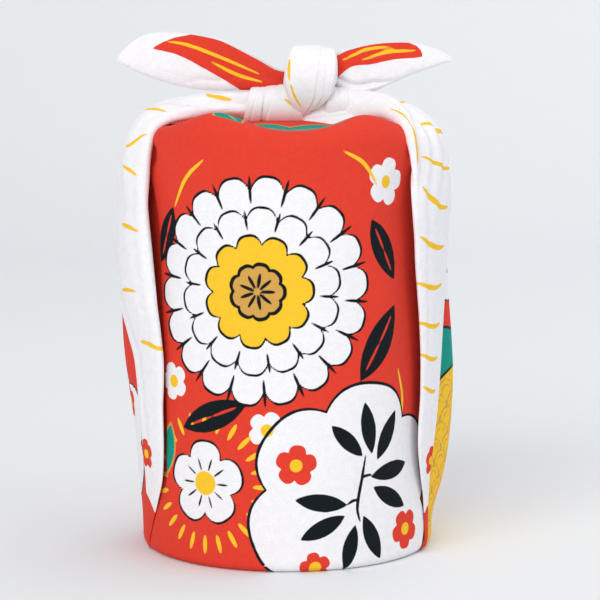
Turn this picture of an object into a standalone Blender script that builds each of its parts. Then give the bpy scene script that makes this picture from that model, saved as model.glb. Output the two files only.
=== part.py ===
"""Furoshiki wrap: one square of printed cotton, folded round an upright tin and tied on top.

The cloth is one piece, so it is one solid. It stands on its own flat base, is hollow where the
tin stands, and has the folds that the real cloth takes: a smooth front and back panel, a pleated
flap up each side, two flaps folded over the top, and the side corners tied in a square knot with
two ears. Lengths are in millimetres until a mesh is made, which is in metres. X is to the right of
the front, the front faces -Y, +Z is up, and the origin is on the tin's axis at the base.
"""

from collections import namedtuple

import bmesh
import bpy
import numpy as np

MM = 0.001

# The tin that the cloth is folded round, and the cloth as built
TIN_RADIUS = 46.0
TIN_TOP = 135.4
CLOTH = 1.6
BODY_RADIUS = TIN_RADIUS + CLOTH
BODY_TOP = TIN_TOP + CLOTH
RIM_ROUND = 5.0
BASE_ROUND = 2.6

# Heights of the wall's sections between the base and the rim
WALL_HEIGHTS = (2.6, 8, 14, 20, 27, 35, 44, 54, 64, 74, 84, 95, 106, 116, 124, 129)
HOLLOW_HEIGHTS = (8, 20, 35, 54, 74, 95, 116, 129)
# Radii of the rings that close the top, as shares of the flat's radius
TOP_RINGS = (0.9, 0.78, 0.64, 0.48, 0.28)
RIM_STEPS = 4
BASE_STEPS = 2

# A flap up one side. Angles are in degrees from the front, towards that side.
# height: where the section lies; front_fold, rear_fold: the two folded edges;
# flap: radius of the flap's face; bulge: radius of the slack cloth behind the rear fold
Flap = namedtuple("Flap", "height front_fold rear_fold flap bulge")
LEFT_FLAP = (
    Flap(0, 62, 73, 47.6, 47.6),
    Flap(8, 60, 73, 47.9, 47.8),
    Flap(20, 54, 74.6, 48.8, 48.9),
    Flap(35, 52.3, 78.5, 50.0, 50.4),
    Flap(50, 52, 82, 50.9, 52.6),
    Flap(65, 51, 84, 52.0, 54.5),
    Flap(80, 50.8, 92, 54.6, 55.2),
    Flap(96, 53, 97, 55.5, 54.4),
    Flap(112, 55.5, 100, 54.7, 53.0),
    Flap(124, 56, 102, 53.0, 51.0),
    Flap(133, 57, 103, 48.6, 48.2),
    Flap(140, 57, 103, 47.6, 47.6),
)
RIGHT_FLAP = (
    Flap(0, 69, 73, 47.6, 47.6),
    Flap(8, 68, 73, 47.9, 48.0),
    Flap(20, 65, 74.8, 48.7, 51.8),
    Flap(28, 61, 76.5, 49.4, 53.4),
    Flap(36, 58.5, 79, 49.9, 54.4),
    Flap(50, 59, 83, 50.5, 55.2),
    Flap(65, 58.5, 84, 51.0, 55.0),
    Flap(80, 56.2, 85, 51.6, 54.4),
    Flap(96, 52.5, 88, 52.5, 54.0),
    Flap(112, 50, 95, 53.0, 53.0),
    Flap(124, 49.5, 97, 52.2, 51.0),
    Flap(133, 49, 98, 48.6, 48.2),
    Flap(140, 49, 98, 47.6, 47.6),
)
# The gap under a fold is this share of how far the flap stands off the panel
UNDER_FOLD = 0.36
# How far a fold reaches over the panel, in degrees. Low down the cloth is not yet folded back:
# each fold grows between the first two heights, and fades under the ties between the next two
FRONT_OVERHANG = 7.0
REAR_OVERHANG = 4.5
UNFOLDED = 2.2
FOLD_STARTS = 8.0
FOLD_WHOLE = 32.0
FOLD_FADES = 124.0
FOLD_GONE = 133.0
NOSE_LEAST = 0.5
# The back's slack is widest at this angle, or this far behind the rear fold where that is
# further round, and has gone by the last angle
BULGE_AT = 98.0
BULGE_AFTER = 17.0
BULGE_ENDS = 152.0

# Soft lumps of the top flap behind the rim: angle from the front, radius, height, half-widths
Lump = namedtuple("Lump", "angle radius height spread_deg spread_mm")
LUMPS = (
    Lump(-34, 38.5, 5.2, 19, 9),
    Lump(36, 38.5, 5.0, 17, 8),
    Lump(0, 30, -1.2, 24, 12),
    Lump(-148, 37, 3.2, 20, 9),
    Lump(145, 37, 3.6, 22, 9),
)

# A tie is a bunched strand of the side corner, from the flap over the rim into the knot.
# x, y, z: the middle of the section; width: across the strand; thick: through it;
# bow: how far its edges bend round the tin; turn: degrees that the width leans from Y towards X
Strand = namedtuple("Strand", "x y z width thick bow turn")
LEFT_TIE = (
    Strand(-49.2, -8.7, 56, 4, 1.2, 0.1, -10),
    Strand(-50.3, -8.9, 66, 9, 1.8, 0.3, -10),
    Strand(-52.6, -9.2, 80, 16, 2.6, 0.7, -10),
    Strand(-53.0, -9.2, 96, 25, 4.0, 1.6, -10),
    Strand(-51.8, -9.1, 111, 32, 5.6, 2.6, -10),
    Strand(-50.6, -8.8, 122, 35, 7.2, 3.4, -10),
    Strand(-48.9, -7.6, 131.6, 33, 8.0, 3.2, -8),
    Strand(-45.2, -6.8, 137.8, 29, 7.8, 2.8, -4),
    Strand(-39.4, -6.2, 141.3, 26, 7.2, 2.6, 0),
    Strand(-32.0, -5.8, 142.8, 23, 7.0, 2.2, 0),
    Strand(-24.0, -5.2, 143.2, 19, 7.8, 1.2, 0),
    Strand(-15.0, -4.8, 143.4, 16, 9.0, 0.2, 0),
    Strand(-6.0, -4.4, 143.8, 15, 9.4, 0, 0),
    Strand(3.0, -4.2, 144.2, 14, 9.4, 0, 0),
)
RIGHT_TIE = (
    Strand(47.5, -11.9, 56, 4, 1.2, 0.1, 15),
    Strand(48.6, -12.1, 66, 8, 1.6, 0.3, 15),
    Strand(49.0, -12.2, 80, 15, 2.4, 0.6, 15),
    Strand(49.4, -12.3, 96, 24, 3.6, 1.5, 15),
    Strand(49.2, -12.3, 111, 32, 5.0, 2.7, 15),
    Strand(48.5, -12.0, 122, 36, 6.2, 3.6, 14),
    Strand(47.2, -9.8, 131.2, 35, 6.6, 3.2, 10),
    Strand(43.8, -7.4, 136.8, 31, 6.6, 2.6, 6),
    Strand(38.6, -5.8, 140.2, 26, 6.6, 1.8, 2),
    Strand(32.0, -4.8, 142.2, 22, 7.0, 1.0, 0),
    Strand(24.0, -4.4, 143.4, 18, 7.8, 0.4, 0),
    Strand(16.0, -4.2, 143.8, 16, 8.8, 0, 0),
    Strand(7.0, -4.2, 144.2, 14, 9.4, 0, 0),
)
# The rolled front fold of the right tie, which runs down into the flap's front fold
RIGHT_ROLL = (
    Strand(12.0, -9.0, 143.2, 9, 7.0, 0, 0),
    Strand(20.0, -10.4, 143.8, 9, 7.4, 0, 0),
    Strand(27.2, -12.2, 143.8, 9.5, 7.0, 0, 6),
    Strand(33.6, -15.4, 142.0, 9.5, 6.4, 0, 16),
    Strand(38.2, -20.6, 138.2, 9, 5.8, 0.2, 28),
    Strand(40.6, -26.2, 132.4, 8, 5.0, 0.3, 38),
    Strand(40.7, -29.8, 125.2, 7, 4.0, 0.4, 52),
    Strand(40.9, -30.3, 116.0, 5, 2.6, 0.2, 53),
    Strand(41.0, -30.0, 107.0, 3, 1.4, 0.1, 54),
)
STRAND_SIDES = 16
STEPS_A_ROW = 2

# A turn of cloth round the knot, as a rounded drum on an axis along X.
# angle: round the drum from the top towards the front, in degrees; left, right: its edges there
Turn = namedtuple("Turn", "angle left right")
FRONT_LOOP = (
    Turn(0, 1.0, 15.9),
    Turn(45, -0.5, 16.3),
    Turn(90, -1.0, 15.4),
    Turn(122, 0.4, 13.0),
    Turn(148, 2.6, 9.0),
    Turn(180, 3.4, 8.0),
    Turn(215, 2.0, 12.0),
    Turn(270, 0.5, 15.0),
    Turn(360, 1.0, 15.9),
)
LEFT_TURN = (
    Turn(0, -11.4, -5.6),
    Turn(90, -13.2, -7.6),
    Turn(180, -14.4, -8.4),
    Turn(270, -13.0, -7.0),
    Turn(360, -11.4, -5.6),
)
MIDDLE_TURN = (
    Turn(0, -7.2, 4.0),
    Turn(90, -8.6, 5.0),
    Turn(180, -8.8, 5.6),
    Turn(270, -8.0, 5.0),
    Turn(360, -7.2, 4.0),
)
RIGHT_TURN = (
    Turn(0, 12.0, 22.0),
    Turn(90, 12.0, 22.8),
    Turn(180, 11.0, 22.4),
    Turn(270, 12.0, 22.0),
    Turn(360, 12.0, 22.0),
)
# Where each drum's middle is, and its half sizes; first: the angle of its first corner;
# crease: where across it a hem or fold line runs, or 0 for none
Drum = namedtuple("Drum", "turns y z half_depth half_height first crease")
DRUMS = {
    "right_turn": Drum(RIGHT_TURN, -4.6, 143.9, 8.6, 6.1, 9, 0.0),
    "left_turn": Drum(LEFT_TURN, -4.4, 143.2, 9.6, 6.5, 3, 0.5),
    "middle_turn": Drum(MIDDLE_TURN, -4.4, 143.4, 9.0, 6.6, 6, 0.0),
    "front_loop": Drum(FRONT_LOOP, -4.2, 149.9, 11.6, 12.6, 0, 0.74),
}
DRUM_SIDES = 26
# Rings across a drum: share of its width, share of its full radius
DRUM_RINGS = ((0.0, 0.62), (0.03, 0.80), (0.1, 0.93), (0.25, 0.99), (0.42, 1.0), (0.58, 1.0),
              (0.72, 0.985), (0.86, 0.965), (0.95, 0.90), (0.985, 0.80), (1.0, 0.62))
CREASE_DEPTH = 0.035
CREASE_WIDTH = 0.035

# An ear is a corner of the cloth, folded along its middle into a leaf that is open along the top.
# x, y: the middle of the section; bottom, top: its two edges; puff: half its depth
Ear = namedtuple("Ear", "x y bottom top puff")
LEFT_EAR = (
    Ear(4.0, -4.4, 148.6, 153.6, 3.0),
    Ear(-3.0, -5.4, 148.9, 154.6, 3.4),
    Ear(-8.5, -6.0, 148.5, 157.6, 4.0),
    Ear(-14.5, -6.6, 148.3, 160.8, 4.4),
    Ear(-21.0, -7.2, 148.2, 164.0, 4.8),
    Ear(-27.5, -7.6, 148.5, 165.6, 5.0),
    Ear(-34.0, -7.8, 149.6, 166.5, 4.8),
    Ear(-40.3, -7.8, 151.3, 166.8, 4.3),
    Ear(-46.0, -7.6, 153.4, 165.8, 3.4),
    Ear(-50.2, -7.4, 155.4, 163.2, 2.5),
    Ear(-52.8, -7.2, 156.8, 160.6, 1.7),
    Ear(-54.0, -7.1, 157.5, 158.9, 0.9),
)
RIGHT_EAR = (
    Ear(9.0, -4.4, 150.4, 157.6, 3.0),
    Ear(15.5, -5.6, 149.6, 159.2, 3.6),
    Ear(19.0, -6.2, 147.9, 160.8, 4.4),
    Ear(23.0, -6.6, 147.2, 162.0, 4.8),
    Ear(28.0, -7.0, 147.8, 163.0, 4.8),
    Ear(34.0, -7.2, 150.2, 163.5, 4.4),
    Ear(40.0, -7.2, 152.9, 163.4, 3.7),
    Ear(45.0, -7.0, 155.0, 162.4, 2.9),
    Ear(49.4, -6.8, 156.6, 160.8, 2.0),
    Ear(52.8, -6.6, 157.6, 158.9, 0.9),
)
EAR_POINTS = 9

# The mouth is the slot left between the free edges of the front and the back flap
MOUTH_Y = (13.0, 19.0)
MOUTH_HALF_LENGTH = 22.0

COTTON_COLOUR = (0.86, 0.84, 0.85, 1.0)
COTTON_ROUGHNESS = 0.9


def clear_scene():
    """Removes whatever objects the file holds."""
    for obj in list(bpy.data.objects):
        bpy.data.objects.remove(obj)


def smooth(at, known, values):
    """A smooth curve through the known values, read at the given places."""
    known = np.asarray(known, float)
    values = np.asarray(values, float)
    at = np.clip(np.asarray(at, float), known[0], known[-1])
    slope = np.gradient(values, known)
    i = np.clip(np.searchsorted(known, at, side="right") - 1, 0, len(known) - 2)
    span = known[i + 1] - known[i]
    t = (at - known[i]) / span
    start = (1 + 2 * t) * (1 - t) ** 2 * values[i] + t * (1 - t) ** 2 * span * slope[i]
    end = t**2 * (3 - 2 * t) * values[i + 1] + t**2 * (t - 1) * span * slope[i + 1]
    return start + end


def column(rows, name):
    """One named column of a table, as an array."""
    return np.array([getattr(row, name) for row in rows], float)


def eased(value, low, high):
    """0 below low and 1 above high, with a soft change between."""
    t = np.clip((value - low) / (high - low), 0, 1)
    return t * t * (3 - 2 * t)


def half_section(rows, height):
    """Angles and radii of one half of the wall's outline, from the front to the back.

    The outline follows the panel in under the flap's front fold, comes back along the underside
    of the fold, turns round its nose, follows the flap, and leaves it the same way at the rear.
    """
    heights = column(rows, "height")
    at = {n: float(smooth(height, heights, column(rows, n))) for n in Flap._fields[1:]}
    folded = eased(height, FOLD_STARTS, FOLD_WHOLE) * (1 - eased(height, FOLD_FADES, FOLD_GONE))
    proud = max(at["flap"] - BODY_RADIUS, 0.3)
    flap = BODY_RADIUS + proud
    under = BODY_RADIUS + UNDER_FOLD * proud
    middle = (flap + under) / 2
    half_nose = (flap - under) / 2
    nose_deg = max(np.degrees(half_nose / flap), NOSE_LEAST)
    front, rear = at["front_fold"], at["rear_fold"]
    front_end = front - UNFOLDED + (UNFOLDED + FRONT_OVERHANG) * folded
    rear_end = rear + UNFOLDED - (UNFOLDED + REAR_OVERHANG) * folded
    step = 0.4
    back_step = step * (2 - 3 * folded)

    panel = np.linspace(0, front_end, 9)
    below = np.linspace(front_end + back_step, front - 0.1, 2)
    turn = np.radians(np.linspace(-70, 90, 5))
    nose = nose_deg * (1 - np.cos(turn))
    face = np.linspace(front + nose_deg + 0.6, rear - nose_deg - 0.6, 7)
    crown = 0.5 * np.sin(np.pi * (face - face[0]) / (face[-1] - face[0]))
    back = rear_end + (180 - rear_end) * np.linspace(0, 1, 13) ** 1.15
    bulge_at = max(BULGE_AT, rear + BULGE_AFTER)
    rise = eased(back, rear_end, bulge_at) * (1 - eased(back, bulge_at + 4, BULGE_ENDS))

    angles = np.concatenate([
        panel,
        [front_end + step],
        below,
        front + nose,
        face,
        rear - nose[::-1],
        [rear_end - back_step, rear_end - step],
        back,
    ])
    radii = np.concatenate([
        np.full(len(panel), BODY_RADIUS),
        [BODY_RADIUS + 0.18 * proud],
        np.full(len(below), under),
        middle + half_nose * np.sin(turn),
        flap + crown * min(proud / 2, 1),
        middle + half_nose * np.sin(turn[::-1]),
        [under, BODY_RADIUS + 0.18 * proud],
        BODY_RADIUS + (at["bulge"] - BODY_RADIUS) * rise,
    ])
    return angles, radii


def wall_section(height, even=0.0):
    """The whole outline at one height, as an array of x and y.

    even is how far its points are shifted from the folds to even steps round a circle.
    """
    right_angle, right_radius = half_section(RIGHT_FLAP, height)
    left_angle, left_radius = half_section(LEFT_FLAP, height)
    angle = np.concatenate([right_angle, 360 - left_angle[-2:0:-1]])
    radius = np.concatenate([right_radius, left_radius[-2:0:-1]])
    steps = np.arange(len(angle)) * 360 / len(angle)
    angle = np.radians(angle + even * (steps - angle))
    radius = radius + even * (BODY_RADIUS - radius)
    return np.stack([radius * np.sin(angle), -radius * np.cos(angle)], axis=1)


def lump_height(x, y):
    """How far the top flap stands above the flat top at a place, from the soft lumps."""
    angle = np.degrees(np.arctan2(x, -y))
    radius = np.hypot(x, y)
    height = np.zeros_like(radius)
    for lump in LUMPS:
        away = (angle - lump.angle + 180) % 360 - 180
        height += lump.height * np.exp(
            -((away / lump.spread_deg) ** 2) - ((radius - lump.radius) / lump.spread_mm) ** 2)
    return height


def at_height(outline, height):
    """An outline lifted to a height."""
    return np.column_stack([outline, np.full(len(outline), height)])


def body_rings():
    """Closed rings of the outer surface, from the flat base up the wall and in over the top."""
    base_outline = wall_section(0)
    rings = []
    for step in range(BASE_STEPS + 1):
        turn = np.radians(90 * step / (BASE_STEPS + 1))
        inset = BASE_ROUND * (1 - np.sin(turn))
        outline = base_outline * (BODY_RADIUS - inset) / BODY_RADIUS
        rings.append(at_height(outline, BASE_ROUND * (1 - np.cos(turn))))
    rings += [at_height(wall_section(height), height) for height in WALL_HEIGHTS]
    flat_radius = BODY_RADIUS - RIM_ROUND
    for step in range(1, RIM_STEPS + 1):
        turn = np.radians(90 * step / RIM_STEPS)
        height = BODY_TOP - RIM_ROUND * (1 - np.sin(turn))
        outline = wall_section(height, step / RIM_STEPS)
        share = (flat_radius + RIM_ROUND * np.cos(turn)) / BODY_RADIUS
        ring = at_height(outline * share, height)
        ring[:, 2] += lump_height(ring[:, 0], ring[:, 1])
        rings.append(ring)
    top_outline = wall_section(BODY_TOP, 1.0) * flat_radius / BODY_RADIUS
    for share in TOP_RINGS:
        ring = at_height(top_outline * share, BODY_TOP)
        ring[:, 2] += lump_height(ring[:, 0], ring[:, 1])
        rings.append(ring)
    return rings


def hollow_rings():
    """Closed rings of the space inside the cloth, one thickness in from its outer surface.

    The space follows the tin, and the slack of the back panel where that stands off the tin.
    """
    angle = np.radians(np.arange(0, 360, 9.0))
    degrees = np.abs((np.degrees(angle) + 180) % 360 - 180)
    right_side = np.sin(angle) >= 0
    direction = np.stack([np.sin(angle), -np.cos(angle)], axis=1)

    def radius_at(height):
        radius = np.full(len(angle), TIN_RADIUS)
        for rows, chosen in ((RIGHT_FLAP, right_side), (LEFT_FLAP, ~right_side)):
            heights = column(rows, "height")
            rear = float(smooth(height, heights, column(rows, "rear_fold")))
            bulge = float(smooth(height, heights, column(rows, "bulge")))
            bulge_at = max(BULGE_AT, rear + BULGE_AFTER)
            rise = eased(degrees, rear + 2, bulge_at + 1)
            rise *= 1 - eased(degrees, bulge_at + 4, BULGE_ENDS - 1)
            radius = np.where(chosen, TIN_RADIUS + (bulge - BODY_RADIUS) * rise, radius)
        return radius

    rings = []
    for height in (CLOTH, *HOLLOW_HEIGHTS):
        rings.append(at_height(direction * radius_at(height)[:, None], height))
    inner_round = RIM_ROUND - CLOTH
    flat_radius = TIN_RADIUS - inner_round
    for step in range(1, RIM_STEPS + 1):
        turn = np.radians(90 * step / RIM_STEPS)
        height = TIN_TOP - inner_round * (1 - np.sin(turn))
        ring = at_height(direction * (flat_radius + inner_round * np.cos(turn)), height)
        ring[:, 2] += lump_height(ring[:, 0], ring[:, 1])
        rings.append(ring)
    for share in TOP_RINGS:
        ring = at_height(direction * flat_radius * share, TIN_TOP)
        ring[:, 2] += lump_height(ring[:, 0], ring[:, 1])
        rings.append(ring)
    return rings


def between_rows(rows):
    """The rows of a table with smooth in-between rows added, as one array a column."""
    known = np.arange(len(rows))
    at = np.linspace(0, len(rows) - 1, STEPS_A_ROW * (len(rows) - 1) + 1)
    return {name: smooth(at, known, column(rows, name)) for name in rows[0]._fields}


def strand_rings(rows):
    """Rounded flat sections carried along a tie, each square to its path."""
    at = between_rows(rows)
    middle = np.stack([at["x"], at["y"], at["z"]], axis=1)
    along = np.gradient(middle, axis=0)
    along /= np.linalg.norm(along, axis=1)[:, None]
    turn = np.linspace(0, 2 * np.pi, STRAND_SIDES, endpoint=False)
    u = np.sign(np.cos(turn)) * np.abs(np.cos(turn)) ** 0.8
    v = np.sign(np.sin(turn)) * np.abs(np.sin(turn)) ** 0.8
    rings = []
    for i, (centre, forward) in enumerate(zip(middle, along)):
        lean = np.radians(at["turn"][i])
        across = np.array([np.sin(lean), np.cos(lean), 0.0])
        across -= forward * (across @ forward)
        across /= np.linalg.norm(across)
        out = np.cross(across, forward)
        if out @ np.array([centre[0], 0, 60.0]) < 0:
            out = -out
        depth = v * at["thick"][i] / 2 - at["bow"][i] * u**2
        rings.append(centre + np.outer(u * at["width"][i] / 2, across) + np.outer(depth, out))
    return rings


def drum_rings(drum):
    """Rings of one turn of cloth round the knot, from its left edge to its right one."""
    turn = drum.first + np.linspace(0, 360, DRUM_SIDES, endpoint=False)
    left = smooth(turn, column(drum.turns, "angle"), column(drum.turns, "left"))
    right = smooth(turn, column(drum.turns, "angle"), column(drum.turns, "right"))
    angle = np.radians(turn)
    rings = []
    for share, size in DRUM_RINGS:
        if drum.crease:
            size -= CREASE_DEPTH * np.exp(-(((share - drum.crease) / CREASE_WIDTH) ** 2))
        rings.append(np.column_stack([
            left + share * (right - left),
            drum.y - drum.half_depth * size * np.sin(angle),
            drum.z + drum.half_height * size * np.cos(angle),
        ]))
    return rings


def ear_rings(rows):
    """Sections of a folded leaf: down the front face, round the fold, up the back, then inside."""
    at = between_rows(rows)
    turn = np.linspace(0, np.pi, EAR_POINTS)
    drop = np.sin(turn) ** 0.75
    rings = []
    for x, y, bottom, top, puff in zip(*(at[name] for name in Ear._fields)):
        outer_y = -puff * np.cos(turn) * (0.34 + 0.66 * np.sin(turn))
        outer_z = top - (top - bottom) * drop
        inner_share = 1 - min(CLOTH / puff, 0.5)
        inner_y = np.sign(outer_y) * np.maximum(np.abs(outer_y) * inner_share, 0.1 * puff)
        inner_y[EAR_POINTS // 2] = 0
        inner_z = outer_z + min(CLOTH, 0.35 * (top - bottom)) * drop
        rings.append(np.column_stack([
            np.full(2 * EAR_POINTS, x),
            y + np.concatenate([outer_y, inner_y[::-1]]),
            np.concatenate([outer_z, inner_z[::-1]]),
        ]))
    return rings


def loft(name, rings):
    """A closed mesh object through rings of equally many points, with a face on each end."""
    mesh = bpy.data.meshes.new(name)
    bm = bmesh.new()
    loops = [[bm.verts.new(point * MM) for point in ring] for ring in rings]
    count = len(loops[0])
    for lower, upper in zip(loops, loops[1:]):
        for i in range(count):
            j = (i + 1) % count
            bm.faces.new((lower[i], lower[j], upper[j], upper[i]))
    bm.faces.new(loops[0][::-1])
    bm.faces.new(loops[-1])
    bmesh.ops.recalc_face_normals(bm, faces=bm.faces)
    bm.to_mesh(mesh)
    bm.free()
    mesh.shade_smooth()
    return bpy.data.objects.new(name, mesh)


def mouth_cutter():
    """A slot with round ends, taller than the top is thick."""
    width = MOUTH_Y[1] - MOUTH_Y[0]
    low, high = TIN_TOP - 6, BODY_TOP + 8
    mesh = bpy.data.meshes.new("mouth_cutter")
    bm = bmesh.new()
    bmesh.ops.create_cube(bm, size=1.0)
    bmesh.ops.scale(bm, verts=bm.verts, vec=(2 * MOUTH_HALF_LENGTH * MM, width * MM, (high - low) * MM))
    upright = [e for e in bm.edges if abs(e.verts[0].co.z - e.verts[1].co.z) > MM]
    bmesh.ops.bevel(bm, geom=upright, offset=0.48 * width * MM, segments=4, profile=0.5, affect="EDGES")
    middle = (0.0, sum(MOUTH_Y) / 2 * MM, (low + high) / 2 * MM)
    bmesh.ops.translate(bm, verts=bm.verts, vec=middle)
    bm.to_mesh(mesh)
    bm.free()
    return bpy.data.objects.new("mouth_cutter", mesh)


def cotton():
    """The cloth's plain white cotton."""
    material = bpy.data.materials.new("printed_cotton")
    material.use_nodes = True
    shader = material.node_tree.nodes["Principled BSDF"]
    shader.inputs["Base Color"].default_value = COTTON_COLOUR
    shader.inputs["Roughness"].default_value = COTTON_ROUGHNESS
    shader.inputs["Metallic"].default_value = 0.0
    return material


def combine(obj, other, operation, guides):
    """Joins another shape to the object, or cuts it away, and hides that other shape."""
    guides.objects.link(other)
    other.hide_render = True
    other.display_type = "WIRE"
    modifier = obj.modifiers.new(f"{operation.lower()}_{other.name}", "BOOLEAN")
    modifier.operation = operation
    modifier.solver = "EXACT"
    modifier.object = other


def build():
    clear_scene()
    scene = bpy.context.scene
    parts = bpy.data.collections.new("furoshiki_wrap")
    guides = bpy.data.collections.new("cutters")
    scene.collection.children.link(parts)
    scene.collection.children.link(guides)

    cloth = loft("furoshiki", body_rings())
    cloth.data.materials.append(cotton())
    parts.objects.link(cloth)

    combine(cloth, loft("left_tie", strand_rings(LEFT_TIE)), "UNION", guides)
    combine(cloth, loft("right_tie", strand_rings(RIGHT_TIE)), "UNION", guides)
    combine(cloth, loft("right_roll", strand_rings(RIGHT_ROLL)), "UNION", guides)
    for name, drum in DRUMS.items():
        combine(cloth, loft(name, drum_rings(drum)), "UNION", guides)
    combine(cloth, loft("left_ear", ear_rings(LEFT_EAR)), "UNION", guides)
    combine(cloth, loft("right_ear", ear_rings(RIGHT_EAR)), "UNION", guides)
    combine(cloth, loft("tin_space", hollow_rings()), "DIFFERENCE", guides)
    combine(cloth, mouth_cutter(), "DIFFERENCE", guides)


build()
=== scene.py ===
"""A furoshiki wrap: one hemmed square of printed cotton, 500 mm each way, tied over a round body.

The cloth's corners lie to the front, the back and the two sides. The front and the back corner
are folded over the top, and the side corners are drawn up and tied. Lengths are in millimetres
until a mesh is made. X is to the right of the front, which faces -Y, and Z is up.
"""

import math
from collections import namedtuple

import bpy
import numpy as np
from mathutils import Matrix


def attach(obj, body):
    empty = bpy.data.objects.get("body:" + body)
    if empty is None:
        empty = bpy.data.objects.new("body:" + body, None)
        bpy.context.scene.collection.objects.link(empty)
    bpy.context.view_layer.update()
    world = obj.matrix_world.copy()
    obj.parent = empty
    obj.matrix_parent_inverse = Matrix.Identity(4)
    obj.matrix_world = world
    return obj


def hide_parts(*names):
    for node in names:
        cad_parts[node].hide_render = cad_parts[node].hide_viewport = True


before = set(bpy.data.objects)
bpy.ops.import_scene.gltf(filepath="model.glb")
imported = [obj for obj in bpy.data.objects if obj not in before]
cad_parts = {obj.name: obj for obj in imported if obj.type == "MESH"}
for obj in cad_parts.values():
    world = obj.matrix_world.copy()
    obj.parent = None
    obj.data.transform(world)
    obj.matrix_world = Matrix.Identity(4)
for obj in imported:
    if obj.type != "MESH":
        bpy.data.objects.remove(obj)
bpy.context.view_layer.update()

# The front of the cloth: the quarter that goes from the middle of the base up the front, round
# the rim and back over the top. It is one smooth layer of printed cotton, held down by the flaps
# beside it and by the knot, and its hem ends at a slot.

# The cotton is bleached plain-weave sheeting, 0.4 mm thick, screen printed on its face. It is
# matt and soft, with a faint grain of threads, and its pigment inks have slightly ragged edges.
BLEACHED_WHITE = "#F1EFF2"
# Each ink covers the ones before it, and a petal is the bare cloth left free of them
INKS = {
    "red": "#E03F2E",
    "petal": BLEACHED_WHITE,
    "yellow": "#F7C42F",
    "green": "#0C9482",
    "gold": "#D3A04E",
    "black": "#10181D",
}
INK_EDGE_MM = 0.22
INK_RAGGED_MM = 0.25
# The threads are about 0.4 mm apart, too fine to show, so they are drawn 0.5 mm apart
THREAD_MM = 0.5
# How many spots to the metre: blotches in the ink, thick places in the threads, soft creases
BLOTCHES_PER_M = 420.0
SLUBS_PER_M = 1700.0
CREASES_PER_M = 55.0
# Heights in the relief are shares of RELIEF_MM
RELIEF_MM = 0.16
WEAVE_HEIGHT = 0.16
CREASE_HEIGHT = 5.0
SEAM_HEIGHT = -0.8
SEAM_HALF_MM = 0.6
# How far the seam lies from the hem's edge
HEM_MM = 5.0
# Painted shade in the grain's hollows and painted highlight on its tops, and the shade of the ink
# where it is thick and thin
GRAIN_PAINTED_LIGHT = (0.93, 1.035)
INK_SHADE = (0.965, 1.02)


def linear(hex_colour):
    """An sRGB hex colour as linear red, green, blue and alpha."""
    parts = [int(hex_colour[i:i + 2], 16) / 255 for i in (1, 3, 5)]
    return (*[p / 12.92 if p <= 0.04045 else ((p + 0.055) / 1.055) ** 2.4 for p in parts], 1.0)


def add_node(tree, kind, links=(), **settings):
    """Adds a node. Settings are its attributes, or in0, in1 and so on for its sockets' values.

    links are pairs: the socket's place or name on the new node, and the output that feeds it.
    """
    node = tree.nodes.new(kind)
    for name, value in settings.items():
        if name.startswith("in") and name[2:].isdigit():
            node.inputs[int(name[2:])].default_value = value
        else:
            setattr(node, name, value)
    for place, source in links:
        tree.links.new(source, node.inputs[place])
    return node


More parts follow.
